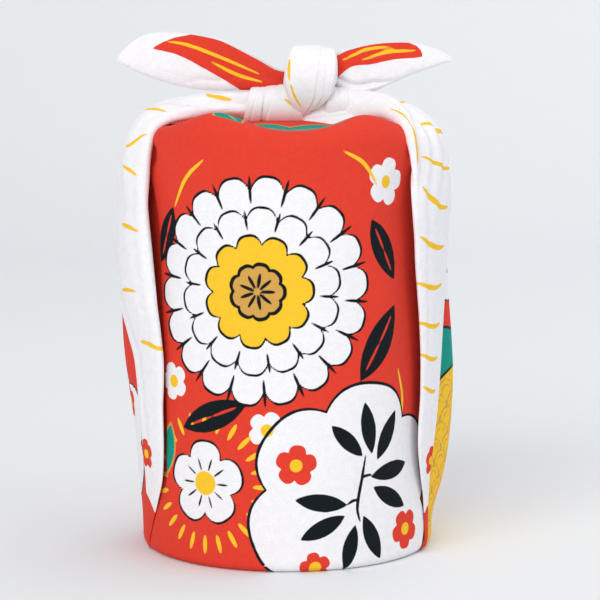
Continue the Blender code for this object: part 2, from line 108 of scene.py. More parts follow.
def printed_cotton():
    """White cotton, with each ink laid over the last where its distance attribute is negative."""
    material = bpy.data.materials.new("printed_plain_weave_cotton")
    material.use_nodes = True
    tree = material.node_tree
    shader = tree.nodes["Principled BSDF"]
    flat_place = add_node(tree, "ShaderNodeUVMap", uv_map="cloth").outputs[0]
    blotches, slubs, creases = [
        add_node(
            tree, "ShaderNodeTexNoise", [("Vector", flat_place)], in2=scale, in3=3.0).outputs["Fac"]
        for scale in (BLOTCHES_PER_M, SLUBS_PER_M, CREASES_PER_M)]
    colour = None
    for layer, ink in INKS.items():
        distance = add_node(tree, "ShaderNodeAttribute", attribute_name=layer).outputs["Fac"]
        ragged = add_node(
            tree, "ShaderNodeMath", [(0, blotches), (2, distance)],
            operation="MULTIPLY_ADD", in1=INK_RAGGED_MM).outputs[0]
        share = add_node(
            tree, "ShaderNodeMapRange", [(0, ragged)],
            in1=(INK_RAGGED_MM - INK_EDGE_MM) / 2, in2=(INK_RAGGED_MM + INK_EDGE_MM) / 2,
            in3=1.0, in4=0.0).outputs[0]
        mix = add_node(tree, "ShaderNodeMix", [(0, share)], data_type="RGBA")
        if colour is None:
            mix.inputs[6].default_value = linear(BLEACHED_WHITE)
        else:
            tree.links.new(colour, mix.inputs[6])
        mix.inputs[7].default_value = linear(ink)
        colour = mix.outputs[2]

    # Plain weave: over and under swap at each thread, so the height is a product of two waves
    split = add_node(tree, "ShaderNodeSeparateXYZ", [(0, flat_place)])
    waves = [
        add_node(
            tree, "ShaderNodeMath",
            [(0, add_node(
                tree, "ShaderNodeMath", [(0, split.outputs[i])],
                operation="MULTIPLY", in1=math.pi * 1000 / THREAD_MM).outputs[0])],
            operation="SINE").outputs[0]
        for i in (0, 1)]
    crossing = add_node(
        tree, "ShaderNodeMath", [(0, waves[0]), (1, waves[1])], operation="MULTIPLY").outputs[0]
    grain = add_node(
        tree, "ShaderNodeMath", [(0, crossing), (2, slubs)],
        operation="MULTIPLY_ADD", in1=WEAVE_HEIGHT).outputs[0]
    # Painted shade and highlight: the colour is darkened in the weave's hollows and lightened on
    # its tops
    shade = add_node(
        tree, "ShaderNodeMapRange", [(0, grain)],
        in1=0.2, in2=0.8, in3=GRAIN_PAINTED_LIGHT[0], in4=GRAIN_PAINTED_LIGHT[1]).outputs[0]
    mottle = add_node(
        tree, "ShaderNodeMapRange", [(0, blotches)],
        in1=0.3, in2=0.7, in3=INK_SHADE[0], in4=INK_SHADE[1]).outputs[0]
    # The grain's painted shade and highlight, times the ink's own uneven tone
    tone = add_node(
        tree, "ShaderNodeMath", [(0, shade), (1, mottle)], operation="MULTIPLY").outputs[0]
    toned = add_node(
        tree, "ShaderNodeMix", [(6, colour), (7, tone)],
        data_type="RGBA", blend_type="MULTIPLY", in0=1.0).outputs[2]
    tree.links.new(toned, shader.inputs["Base Color"])

    # The relief: the grain, soft creases, and the seam that holds the hem
    hem = add_node(tree, "ShaderNodeAttribute", attribute_name="hem").outputs["Fac"]
    from_seam = add_node(
        tree, "ShaderNodeMath", [(0, hem)], operation="SUBTRACT", in1=HEM_MM).outputs[0]
    off_seam = add_node(
        tree, "ShaderNodeMath", [(0, from_seam)], operation="ABSOLUTE").outputs[0]
    seam = add_node(
        tree, "ShaderNodeMapRange", [(0, off_seam)],
        in1=0.0, in2=SEAM_HALF_MM, in3=SEAM_HEIGHT, in4=0.0).outputs[0]
    creased = add_node(
        tree, "ShaderNodeMath", [(0, creases), (2, grain)],
        operation="MULTIPLY_ADD", in1=CREASE_HEIGHT).outputs[0]
    height = add_node(
        tree, "ShaderNodeMath", [(0, creased), (1, seam)], operation="ADD").outputs[0]
    bump = add_node(tree, "ShaderNodeBump", [("Height", height)])
    bump.inputs["Strength"].default_value = 0.42
    bump.inputs["Distance"].default_value = RELIEF_MM * 0.001
    tree.links.new(bump.outputs[0], shader.inputs["Normal"])
    for socket, value in (
            ("Roughness", 0.92), ("Specular IOR Level", 0.14), ("Sheen Weight", 0.03),
            ("Sheen Roughness", 0.5)):
        shader.inputs[socket].default_value = value
    return material


cotton = printed_cotton()

# The round wall, the flat top and the slot between the hems of the front and the back
WALL_RADIUS = 47.6
TOP = 137.0
RIM_ROUND = 5.0
BASE_ROUND = 2.6
SLOT_Y = 16.0
SLOT_HALF_LENGTH = 22.0
SLOT_HALF_WIDTH = 3.0

# A side flap, as folded, by height: the angles of its folds from the front, in degrees, and the
# radii of its face and of the slack behind it
Flap = namedtuple("Flap", "height front_fold rear_fold flap bulge")
LEFT_FLAP = (
    Flap(0, 71, 74, 47.6, 47.6),
    Flap(8, 66, 72, 47.9, 47.8),
    Flap(20, 58, 70, 48.8, 48.9),
    Flap(28, 53.8, 70, 49.4, 49.7),
    Flap(35, 52.6, 70.5, 50.0, 50.4),
    Flap(50, 52.0, 72, 50.9, 52.6),
    Flap(65, 50.4, 74.5, 52.0, 54.5),
    Flap(80, 51.2, 84, 54.6, 55.2),
    Flap(96, 54.3, 95, 55.5, 54.4),
    Flap(112, 58, 100, 54.7, 53.0),
    Flap(124, 58, 102, 53.0, 51.0),
    Flap(133, 58, 103, 48.6, 48.2),
    Flap(140, 58, 103, 47.6, 47.6),
)
RIGHT_FLAP = (
    Flap(0, 69, 73, 47.6, 47.6),
    Flap(8, 68, 73, 47.9, 48.0),
    Flap(20, 65, 71.5, 48.7, 51.8),
    Flap(28, 61, 71.5, 49.4, 53.4),
    Flap(36, 58.5, 74, 49.9, 54.4),
    Flap(50, 59, 79, 50.5, 55.2),
    Flap(65, 58.5, 82.5, 51.0, 55.0),
    Flap(80, 56.2, 85, 51.6, 54.4),
    Flap(96, 52.5, 88, 52.5, 54.0),
    Flap(112, 50, 95, 53.0, 53.0),
    Flap(124, 49.5, 97, 52.2, 51.0),
    Flap(133, 49, 98, 48.6, 48.2),
    Flap(140, 49, 98, 47.6, 47.6),
)

# Soft lumps of the top: angle from the front, radius, height, half-widths
Lump = namedtuple("Lump", "angle radius height spread_deg spread_mm")
LUMPS = (
    Lump(-34, 38.5, 5.2, 19, 9),
    Lump(39, 38.5, 4.4, 17, 8),
    Lump(0, 30, -0.6, 24, 12),
    Lump(0, 10, 1.9, 500, 13),
    Lump(-148, 37, 3.2, 20, 9),
    Lump(145, 37, 3.6, 22, 9),
)


def smooth(at, known, values):
    """A smooth curve through the known values, read at the given places."""
    known = np.asarray(known, float)
    values = np.asarray(values, float)
    at = np.clip(np.asarray(at, float), known[0], known[-1])
    slope = np.gradient(values, known)
    i = np.clip(np.searchsorted(known, at, side="right") - 1, 0, len(known) - 2)
    span = known[i + 1] - known[i]
    t = (at - known[i]) / span
    start = (1 + 2 * t) * (1 - t) ** 2 * values[i] + t * (1 - t) ** 2 * span * slope[i]
    end = t**2 * (3 - 2 * t) * values[i + 1] + t**2 * (t - 1) * span * slope[i + 1]
    return start + end


def column(rows, name):
    """One named column of a table, as an array."""
    return np.array([getattr(row, name) for row in rows], float)


def eased(value, low, high):
    """0 below low and 1 above high, with a soft change between."""
    t = np.clip((value - low) / (high - low), 0, 1)
    return t * t * (3 - 2 * t)


def flap_value(rows, name, height):
    """One column of a flap's table, read at the given heights."""
    return smooth(height, column(rows, "height"), column(rows, name))


# The heights between which a flap comes free of the wall at its foot, and goes over the rim
FOLD_FOOT = (8, 32)
FOLD_HEAD = (124, 133)
# The slack behind a flap, in degrees: its start past the rear fold where the flap lies flat, and
# inside the fold where it stands free, its least run to its widest place, how long it stays level,
# and where it is widest and ends, from the front
SLACK_OUTSIDE = 2.2
SLACK_INSIDE = 4.5
SLACK_RUN = 17
SLACK_LEVEL = 4
SLACK_WIDEST = 98
SLACK_END = 152


def slack(angle, height):
    """How far the cloth stands off the wall behind the flaps: it rises from under the rear fold,
    is widest near SLACK_WIDEST degrees from the front and has gone by SLACK_END."""
    side = np.abs((angle + 180) % 360 - 180)
    right = (angle + 180) % 360 - 180 >= 0
    folded = eased(height, *FOLD_FOOT) * (1 - eased(height, *FOLD_HEAD))
    total = np.zeros(np.broadcast(angle, height).shape)
    for rows, chosen in ((RIGHT_FLAP, right), (LEFT_FLAP, ~right)):
        rear = flap_value(rows, "rear_fold", height)
        start = rear + SLACK_OUTSIDE - (SLACK_OUTSIDE + SLACK_INSIDE) * folded
        widest = np.maximum(SLACK_WIDEST, rear + SLACK_RUN)
        rise = eased(side, start, widest) * (1 - eased(side, widest + SLACK_LEVEL, SLACK_END))
        total = np.where(
            chosen, (flap_value(rows, "bulge", height) - WALL_RADIUS) * rise, total)
    return total


# Where the front cloth turns in beside the left flap, by height, as an angle from the front
TurnIn = namedtuple("TurnIn", "height angle")
LEFT_TURN_IN = (
    TurnIn(0, 52),
    TurnIn(60, 53.4),
    TurnIn(80, 54.6),
    TurnIn(97, 56),
    TurnIn(110, 58),
    TurnIn(118, 62),
    TurnIn(126, 68),
    TurnIn(140, 71),
)
LEFT_DIP = 1.3
LEFT_DIP_RUN = 3.2
# The right side sinks over a wider stretch, given in degrees before the fold, and not at the rim
RIGHT_DIP = 1.5
RIGHT_DIP_RUN = (17, 1)
RIGHT_DIP_HEAD = (118, 131)
DIP_FOOT = (10, 34)
# A pucker beside the left fold under the rim, the same width in degrees and in millimetres
PUCKER = 2.4
PUCKER_HEIGHT = 128.5
PUCKER_FROM_FOLD = 5.5
PUCKER_WIDTH = 3.0


def tuck(angle, height):
    """How far the front of the cloth sinks where it runs in under each flap's front fold, with a
    round pucker beside the left one."""
    side = (angle + 180) % 360 - 180
    left_fold = flap_value(LEFT_FLAP, "front_fold", height)
    right_fold = flap_value(RIGHT_FLAP, "front_fold", height)
    turn_in = smooth(height, column(LEFT_TURN_IN, "height"), column(LEFT_TURN_IN, "angle"))
    left_dip = LEFT_DIP * eased(-side, turn_in, turn_in + LEFT_DIP_RUN)
    far, near = RIGHT_DIP_RUN
    right_dip = RIGHT_DIP * eased(side, right_fold - far, right_fold - near)
    right_dip = right_dip * (1 - eased(height, *RIGHT_DIP_HEAD))
    pucker = PUCKER * np.exp(
        -(((side + left_fold + PUCKER_FROM_FOLD) / PUCKER_WIDTH) ** 2)
        - ((height - PUCKER_HEIGHT) / PUCKER_WIDTH) ** 2)
    return (left_dip + right_dip) * eased(height, *DIP_FOOT) + pucker


def join_angle(rows, height):
    """Where the front and the back of the cloth meet, hidden in the middle of a flap."""
    return (flap_value(rows, "front_fold", height) + flap_value(rows, "rear_fold", height)) / 2


def lump_height(x, y):
    """How far the top flaps stand above the flat top, as a sum of soft round lumps."""
    angle = np.degrees(np.arctan2(x, -y))
    radius = np.hypot(x, y)
    total = np.zeros_like(radius)
    for lump in LUMPS:
        away = (angle - lump.angle + 180) % 360 - 180
        total += lump.height * np.exp(
            -((away / lump.spread_deg) ** 2) - ((radius - lump.radius) / lump.spread_mm) ** 2)
    return total


# How high the wall's ripples are, and the heights between which they come and go
COARSE_RIPPLE = 0.16
FINE_RIPPLE = 0.10
RIPPLE_FOOT = (4, 20)
RIPPLE_HEAD = (112, 128)


def ripple(angle, height):
    """The wall's unevenness: a coarse wave across the cloth that comes and goes up it, and a finer
    one that leans, both gone at the base and at the rim."""
    turn = np.radians(angle)
    coarse = COARSE_RIPPLE * np.sin(turn * 5.2 + height / 31) * np.sin(height / 19 + 0.8)
    fine = FINE_RIPPLE * np.sin(turn * 11 - height / 12)
    return (coarse + fine) * (eased(height, *RIPPLE_FOOT) * (1 - eased(height, *RIPPLE_HEAD)))


# Rows of points on each stretch of the profile, but for the wall
BASE_ROWS = 7
BASE_ROUND_ROWS = 6
RIM_ROWS = 13
TOP_ROWS = 80
# The hem at the slot: half its turned thickness, the steps of its turn in degrees, and how far it
# then goes back under and down
HEM_TURN = 0.45
HEM_TURN_STEPS = (50, 100, 150, 180)
HEM_UNDER = 4.0
HEM_DOWN = 1.0


def panel_grid(first, last, slot_side, columns, wall_rows):
    """Points of the front or the back layer, a row for each step up the profile.

    first and last give the angles of its two edges by height. Each column runs from the line
    across the middle of the base, out to the edge, up the wall, round the rim, and over the top
    to the slot, whose edge it turns under. The slot is a flat oval. Also returns flat places, and
    how far over the top each row lies.
    """
    across = np.linspace(0, 1, columns)[None, :]
    base_share = np.linspace(0, 1, BASE_ROWS)[:, None]
    base_turn = np.radians(np.linspace(0, 90, BASE_ROUND_ROWS)[1:-1])[:, None]
    wall = np.linspace(BASE_ROUND, TOP - RIM_ROUND, wall_rows)[:, None]
    rim_turn = np.radians(np.linspace(0, 90, RIM_ROWS)[1:])[:, None]
    over = np.linspace(0, 1, TOP_ROWS)[1:, None]
    flat_radius = WALL_RADIUS - RIM_ROUND

    def angles(height):
        a, b = first(height), last(height)
        return a + (b - a) * across

    def ring(angle, radius, z):
        turn = np.radians(angle)
        shape = np.broadcast(turn, radius, z).shape
        return np.stack([
            np.broadcast_to(radius * np.sin(turn), shape),
            np.broadcast_to(-radius * np.cos(turn), shape),
            np.broadcast_to(z, shape)], axis=2)

    inner = ring(angles(0 * base_share), WALL_RADIUS - BASE_ROUND, 0 * base_share)
    inner[:, :, 1] *= base_share
    edge = ring(
        angles(0 * base_turn),
        WALL_RADIUS - BASE_ROUND * (1 - np.sin(base_turn)),
        BASE_ROUND * (1 - np.cos(base_turn)))
    wall_angle = angles(wall)
    uneven = ripple(wall_angle, wall)
    sunk = tuck(wall_angle, wall) if slot_side > 0 else 0
    side = ring(wall_angle, WALL_RADIUS + slack(wall_angle, wall) + uneven - sunk, wall)
    rim_height = TOP - RIM_ROUND * (1 - np.sin(rim_turn))
    rim_angle = angles(rim_height)
    rim_radius = (WALL_RADIUS + slack(rim_angle, rim_height)) * (
        flat_radius + RIM_ROUND * np.cos(rim_turn)) / WALL_RADIUS
    rim = ring(rim_angle, rim_radius, rim_height)

    end_turn = (across - 0.5) * math.pi
    slot_x = slot_side * SLOT_HALF_LENGTH * np.sin(end_turn)
    slot_y = SLOT_Y - slot_side * SLOT_HALF_WIDTH * np.cos(end_turn) ** 0.4
    top = np.stack([
        rim[-1:, :, 0] + (slot_x - rim[-1:, :, 0]) * over,
        rim[-1:, :, 1] + (slot_y - rim[-1:, :, 1]) * over,
        np.full((len(over), columns), TOP)], axis=2)
    upper = np.concatenate([rim, top])
    upper[:, :, 2] += lump_height(upper[:, :, 0], upper[:, :, 1])
    under_turn = np.radians(HEM_TURN_STEPS)[:, None]
    outward = np.sign(top[-1:, :, 1] - SLOT_Y)
    under = np.repeat(upper[-1:], len(under_turn) + 1, axis=0)
    under[:-1, :, 1] -= outward * HEM_TURN * np.sin(under_turn)
    under[:-1, :, 2] -= HEM_TURN * (1 - np.cos(under_turn))
    under[-1, :, 1] += outward[0] * HEM_UNDER
    under[-1, :, 2] -= HEM_DOWN
    points = np.concatenate([inner, edge, side, upper, under])

    middle = points[:, columns // 2]
    along = np.concatenate([[0], np.cumsum(np.linalg.norm(np.diff(middle, axis=0), axis=1))])
    passed = len(inner) + len(edge) + len(side) + len(rim)
    topness = np.zeros((len(points), 1))
    topness[passed:passed + len(top)] = over
    topness[passed + len(top):] = 1
    place = np.stack([
        np.radians(np.concatenate([
            angles(0 * base_share), angles(0 * base_turn), wall_angle, rim_angle,
            np.repeat(rim_angle[-1:], len(top) + len(under), axis=0)])) * WALL_RADIUS,
        np.repeat(along[:, None], columns, axis=1)], axis=2)
    return points, place, topness


# Distances, in mm, that stand for a piece with none of an ink, and for one with no hem
NO_INK = 9.0
NO_HEM = 99.0


def cloth_mesh(name, points, place, inks, hem=NO_HEM, around=False, flip=False):
    """A piece of the cloth: a mesh on a grid of points, with flat places in a UV map, ink and hem
    distances as attributes, and its cotton.

    around joins the last column to the first, and flip turns the faces over.
    """
    rows, columns = points.shape[:2]
    corner = np.arange(rows * columns).reshape(rows, columns)
    beside = np.roll(corner, -1, axis=1) if around else corner[:, 1:]
    here = corner if around else corner[:, :-1]
    quads = np.stack([here[:-1], beside[:-1], beside[1:], here[1:]], axis=2).reshape(-1, 4)
    if flip:
        quads = quads[:, ::-1]
    mesh = bpy.data.meshes.new(name)
    mesh.vertices.add(rows * columns)
    mesh.vertices.foreach_set("co", (points.reshape(-1, 3) * 0.001).astype(np.float32).ravel())
    mesh.loops.add(quads.size)
    mesh.loops.foreach_set("vertex_index", quads.astype(np.int32).ravel())
    mesh.polygons.add(len(quads))
    mesh.polygons.foreach_set("loop_start", np.arange(0, quads.size, 4, dtype=np.int32))
    mesh.update(calc_edges=True)
    uv = mesh.uv_layers.new(name="cloth")
    flat = place.reshape(-1, 2)[quads.ravel()] * 0.001
    uv.data.foreach_set("uv", flat.astype(np.float32).ravel())
    fields = {layer: inks.get(layer, NO_INK) for layer in INKS}
    fields["hem"] = hem
    for layer, distance in fields.items():
        spread = np.broadcast_to(distance, (rows, columns)).astype(np.float32)
        mesh.attributes.new(layer, "FLOAT", "POINT").data.foreach_set("value", spread.ravel())
    mesh.shade_smooth()
    piece = bpy.data.objects.new(name, mesh)
    bpy.context.scene.collection.objects.link(piece)
    mesh.materials.append(cotton)
    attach(piece, "root")
    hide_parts("furoshiki")
    return piece


def turned(x, z, centre, degrees):
    """Places seen from a motif's own centre, with its axis turned."""
    a = math.radians(degrees)
    dx, dz = x - centre[0], z - centre[1]
    return dx * math.cos(a) + dz * math.sin(a), -dx * math.sin(a) + dz * math.cos(a)


def oval(x, z, centre, half_width, half_height, degrees=0):
    """Signed distance to an ellipse, from its scaled radius over that radius's slope."""
    u, v = turned(x, z, centre, degrees)
    k = np.hypot(u / half_width, v / half_height)
    slope = np.hypot(u / half_width**2, v / half_height**2)
    return k * (k - 1) / np.maximum(slope, 1e-6)


def leaf(x, z, centre, length, width, degrees=0):
    """Signed distance to a leaf: where two equal discs overlap."""
    u, v = turned(x, z, centre, degrees)
    radius = (length**2 + width**2) / (4 * width)
    return np.hypot(np.abs(v) + radius - width / 2, u) - radius


def bloom(x, z, centre, radius, petals, depth, degrees=0):
    """Signed distance to a round bloom, whose edge is a ring of arched petals."""
    u, v = turned(x, z, centre, degrees)
    around = np.abs(np.cos(np.arctan2(v, u) * petals / 2))
    return np.hypot(u, v) - radius * (1 - depth * (1 - around) ** 1.6)


def rays(x, z, centre, inner, outer, count, width, degrees=0):
    """Signed distance to straight lines that run out from a centre and taper to their ends."""
    u, v = turned(x, z, centre, degrees)
    step = 2 * math.pi / count
    angle = np.arctan2(v, u)
    off = (angle + step / 2) % step - step / 2
    radius = np.hypot(u, v)
    side = radius * np.abs(np.sin(off))
    share = np.clip((radius - inner) / (outer - inner), 0, 1)
    half = width / 2 * np.sqrt(np.maximum(1 - (2 * share - 1) ** 2, 0.02))
    return np.maximum(side - half, np.maximum(inner - radius, radius - outer))


def brush(x, z, route, width):
    """Signed distance to a brushed line through the route's points, thin at both ends."""
    route = np.asarray(route, float)
    known = np.linspace(0, 1, len(route))
    share = np.linspace(0, 1, 14)
    px, pz = smooth(share, known, route[:, 0]), smooth(share, known, route[:, 1])
    best = np.full(np.broadcast(x, z).shape, 1e3)
    for i in range(len(share) - 1):
        dx, dz = px[i + 1] - px[i], pz[i + 1] - pz[i]
        t = np.clip(((x - px[i]) * dx + (z - pz[i]) * dz) / (dx * dx + dz * dz + 1e-9), 0, 1)
        along = (i + t) / (len(share) - 1)
        half = width / 2 * (0.25 + 0.75 * np.sin(math.pi * along) ** 0.6)
        best = np.minimum(best, np.hypot(x - px[i] - t * dx, z - pz[i] - t * dz) - half)
    return best


def outline(distance, width):
    """Signed distance to a line along a shape's edge."""
    return np.abs(distance) - width / 2


def any_of(*distances):
    """The union of shapes: the least of their distances."""
    return np.minimum.reduce(np.broadcast_arrays(*distances))


def without(distance, *others):
    """A shape with others cut out of it."""
    for other in others:
        distance = np.maximum(distance, -other)
    return distance


# A plum blossom and a leaf of the print: places and sizes in mm, turned by degrees
Plum = namedtuple("Plum", "x z radius turn")
Leaf = namedtuple("Leaf", "middle length width turn")


def plum_blossoms(x, z, plums):
    """Signed distances to the plum blossoms of a table, each of five deeply arched petals."""
    return [bloom(x, z, (plum.x, plum.z), plum.radius, 5, 0.30, plum.turn) for plum in plums]


def plum_hearts(x, z, plums, radius):
    """Signed distance to the round hearts of a table's plum blossoms."""
    return any_of(*[oval(x, z, (plum.x, plum.z), radius, radius) for plum in plums])


def leaves_of(x, z, leaves):
    """Signed distance to the leaves of a table."""
    return any_of(*[leaf(x, z, *row) for row in leaves])


def midribs(x, z, leaves, width):
    """Signed distance to the midribs of a table's leaves, each 0.72 of its leaf's length."""
    return any_of(*[
        rays(x, z, row.middle, 0.0, row.length * 0.36, 2, width, row.turn) for row in leaves])


# The front's print, in mm to the right of its middle and up from the base
MUM = (-9.0, 88.0)
SNOW_RING = (24.0, 22.0)
LARGE_PLUM = Plum(-27.0, 27.0, 13.5, 18)
SMALL_PLUMS = (Plum(34.0, 121.0, 7.5, 5), Plum(-40.0, 58.0, 6.0, 40), Plum(-6.0, 45.0, 6.0, 66))
RING_PLUMS = (Plum(3.0, 34.0, 6.5, 12), Plum(43.5, 10.0, 6.5, 50), Plum(9.0, 1.5, 5.0, 30))
DARK_LEAVES = (
    Leaf((31.0, 71.0), 27, 9.5, 58),
    Leaf((-24.0, 48.5), 25, 9.0, 22),
    Leaf((33.0, 100.0), 22, 8.5, 118),
    Leaf((-43.0, 104.0), 19, 7.5, 70),
)
BAMBOO_LEAVES = (
    Leaf((27.0, 44.5), 17, 5.4, 100),
    Leaf((34.5, 41.5), 17, 5.4, 62),
    Leaf((19.5, 41.0), 15, 5.0, 136),
    Leaf((36.5, 30.0), 17, 5.6, 8),
    Leaf((36.0, 21.5), 16, 5.4, -30),
    Leaf((11.0, 22.0), 17, 5.6, 172),
    Leaf((11.5, 14.0), 16, 5.4, 206),
    Leaf((28.5, 9.5), 16, 5.4, -66),
    Leaf((20.5, 7.0), 15, 5.0, -104),
)
# The green leaves lie on the top, at the knot's foot, but for one beside the large plum blossom
TOP_LEAVES = (
    Leaf((13.0, 157.5), 34, 17.0, 5),
    Leaf((-9.0, 158.5), 25, 16.0, 168),
    Leaf((-21.5, 150.5), 17, 9.5, 132),
)
LOW_GREEN_LEAF = Leaf((-43.0, 36.0), 17, 6.5, 82)


def front_inks(x, z):
    """The print on the front: a great chrysanthemum and a snow ring with bamboo on red, with dark
    leaves, plum blossoms, pine needles and green leaves."""
    mum_edge = bloom(x, z, MUM, 35.5, 18, 0.13, 4)
    mum_second = bloom(x, z, MUM, 26.0, 14, 0.15, 9)
    mum_third = bloom(x, z, MUM, 17.5, 11, 0.17, 2)
    mum_heart = bloom(x, z, MUM, 8.6, 9, 0.12, 0)
    ring_edge = bloom(x, z, SNOW_RING, 37.0, 6, 0.17, 22)
    plum_middle = (LARGE_PLUM.x, LARGE_PLUM.z)
    plum_edge = plum_blossoms(x, z, [LARGE_PLUM])[0]
    stems = any_of(
        brush(x, z, ((26.0, 36.0), (24.5, 28.0), (23.0, 20.0), (24.0, 15.0)), 1.2),
        brush(x, z, ((24.5, 29.0), (26.5, 29.5), (28.5, 29.5)), 1.0),
        brush(x, z, ((23.5, 22.0), (21.5, 22.0), (19.5, 21.0)), 1.0))
    bamboo = any_of(leaves_of(x, z, BAMBOO_LEAVES), stems)
    green = leaves_of(x, z, (*TOP_LEAVES, LOW_GREEN_LEAF))
    needles = any_of(
        rays(x, z, plum_middle, 16.5, 22.5, 24, 1.5),
        brush(x, z, ((-27.0, 128.0), (-34.0, 122.0), (-39.0, 113.0)), 1.3),
        brush(x, z, ((18.0, 131.0), (25.0, 127.0), (30.0, 120.0)), 1.3),
        brush(x, z, ((40.0, 62.0), (43.0, 52.0), (41.0, 43.0)), 1.3))
    return {
        "red": np.full(np.broadcast(x, z).shape, -NO_INK),
        "petal": any_of(
            mum_edge, without(ring_edge, *plum_blossoms(x, z, RING_PLUMS)), plum_edge,
            *plum_blossoms(x, z, SMALL_PLUMS)),
        "yellow": any_of(
            without(mum_third, mum_heart),
            oval(x, z, plum_middle, 3.8, 3.8),
            plum_hearts(x, z, (*SMALL_PLUMS, *RING_PLUMS), 2.0),
            without(needles, ring_edge, mum_edge)),
        "green": green,
        "gold": any_of(mum_heart, outline(green, 0.7), midribs(x, z, TOP_LEAVES, 0.8)),
        "black": any_of(
            without(
                leaves_of(x, z, DARK_LEAVES), midribs(x, z, DARK_LEAVES, 0.9), mum_edge, ring_edge),
            np.maximum(bamboo, ring_edge + 1.5),
            rays(x, z, MUM, 27.0, 36.0, 18, 1.0, 14),
            rays(x, z, MUM, 19.0, 25.5, 14, 0.9, 9 + 180 / 14),
            rays(x, z, MUM, 1.0, 5.8, 9, 1.1),
            outline(mum_edge, 0.9),
            outline(mum_second, 0.8),
            outline(mum_third, 0.9),
            outline(mum_heart, 1.2),
            without(outline(ring_edge, 1.0), mum_edge),
            outline(plum_edge, 0.8),
            rays(x, z, plum_middle, 3.9, 8.4, 10, 0.7)),
    }


# How wide the unprinted border is, from the slot's edge
BORDER_MM = 11.0

points, place, topness = panel_grid(
    lambda height: -join_angle(LEFT_FLAP, height), lambda height: join_angle(RIGHT_FLAP, height),
    slot_side=1, columns=262, wall_rows=262)
art_x = place[:, :, 0] + (points[:, :, 0] - place[:, :, 0]) * topness
art_z = np.where(topness > 0, TOP + WALL_RADIUS + points[:, :, 1], points[:, :, 2])
from_slot = np.hypot(
    np.maximum(np.abs(points[:, :, 0]) - SLOT_HALF_LENGTH, 0),
    points[:, :, 1] - (SLOT_Y - SLOT_HALF_WIDTH))
inks = front_inks(art_x, art_z)
inks["red"] = np.where(topness > 0, BORDER_MM - from_slot, inks["red"])
front = cloth_mesh("cloth_front", points, place, inks)

# The back of the cloth: the quarter behind, of the same printed cotton. It is made as the front
# is, with slack that swells out behind each flap, and its hem meets the front's at the slot.
points, place, topness = panel_grid(
    lambda height: join_angle(RIGHT_FLAP, height),
    lambda height: 360 - join_angle(LEFT_FLAP, height),
    slot_side=-1, columns=250, wall_rows=180)
art_x = (place[:, :, 0] - math.pi * WALL_RADIUS) * (1 - topness) - points[:, :, 0] * topness
art_z = np.where(topness > 0, TOP + WALL_RADIUS - points[:, :, 1], points[:, :, 2])

# The back's print, in mm from the middle of the back, as seen from behind, and up from the base
FLOWER = (6.0, 86.0)
BACK_RINGS = ((-78.0, 101.0, 10), (64.0, 34.0, 30))
BACK_RING_PLUMS = (Plum(-62.0, 88.0, 5.5, 10), Plum(74.0, 46.0, 5.5, 30), Plum(56.0, 20.0, 5.0, 55))
WHITE_PLUMS = (
    Plum(-30.0, 116.0, 8.0, 20),
    Plum(34.0, 34.0, 9.0, 45),
    Plum(-16.0, 20.0, 7.5, 5),
    Plum(52.0, 112.0, 8.0, 62),
)
BACK_BAMBOO = (
    Leaf((-64.0, 103.0), 15, 5, 60),
    Leaf((-70.0, 94.0), 14, 5, 110),
    Leaf((-72.0, 110.0), 15, 5, 20),
    Leaf((60.0, 40.0), 15, 5, 100),
    Leaf((66.0, 33.0), 15, 5, 40),
    Leaf((54.0, 33.0), 15, 5, 150),
)
BACK_DARK_LEAVES = (
    Leaf((-24.0, 46.0), 24, 9, 120),
    Leaf((32.0, 62.0), 22, 8.5, 50),
    Leaf((-34.0, 74.0), 22, 8.5, 75),
)
BACK_GREEN_LEAVES = (Leaf((8.0, 14.0), 24, 10, 35), Leaf((26.0, 130.0), 22, 9, 10))
# The scallops of the waves: their width, and the step from row to row
WAVE_WIDTH = 9.0
WAVE_STEP = 4.5


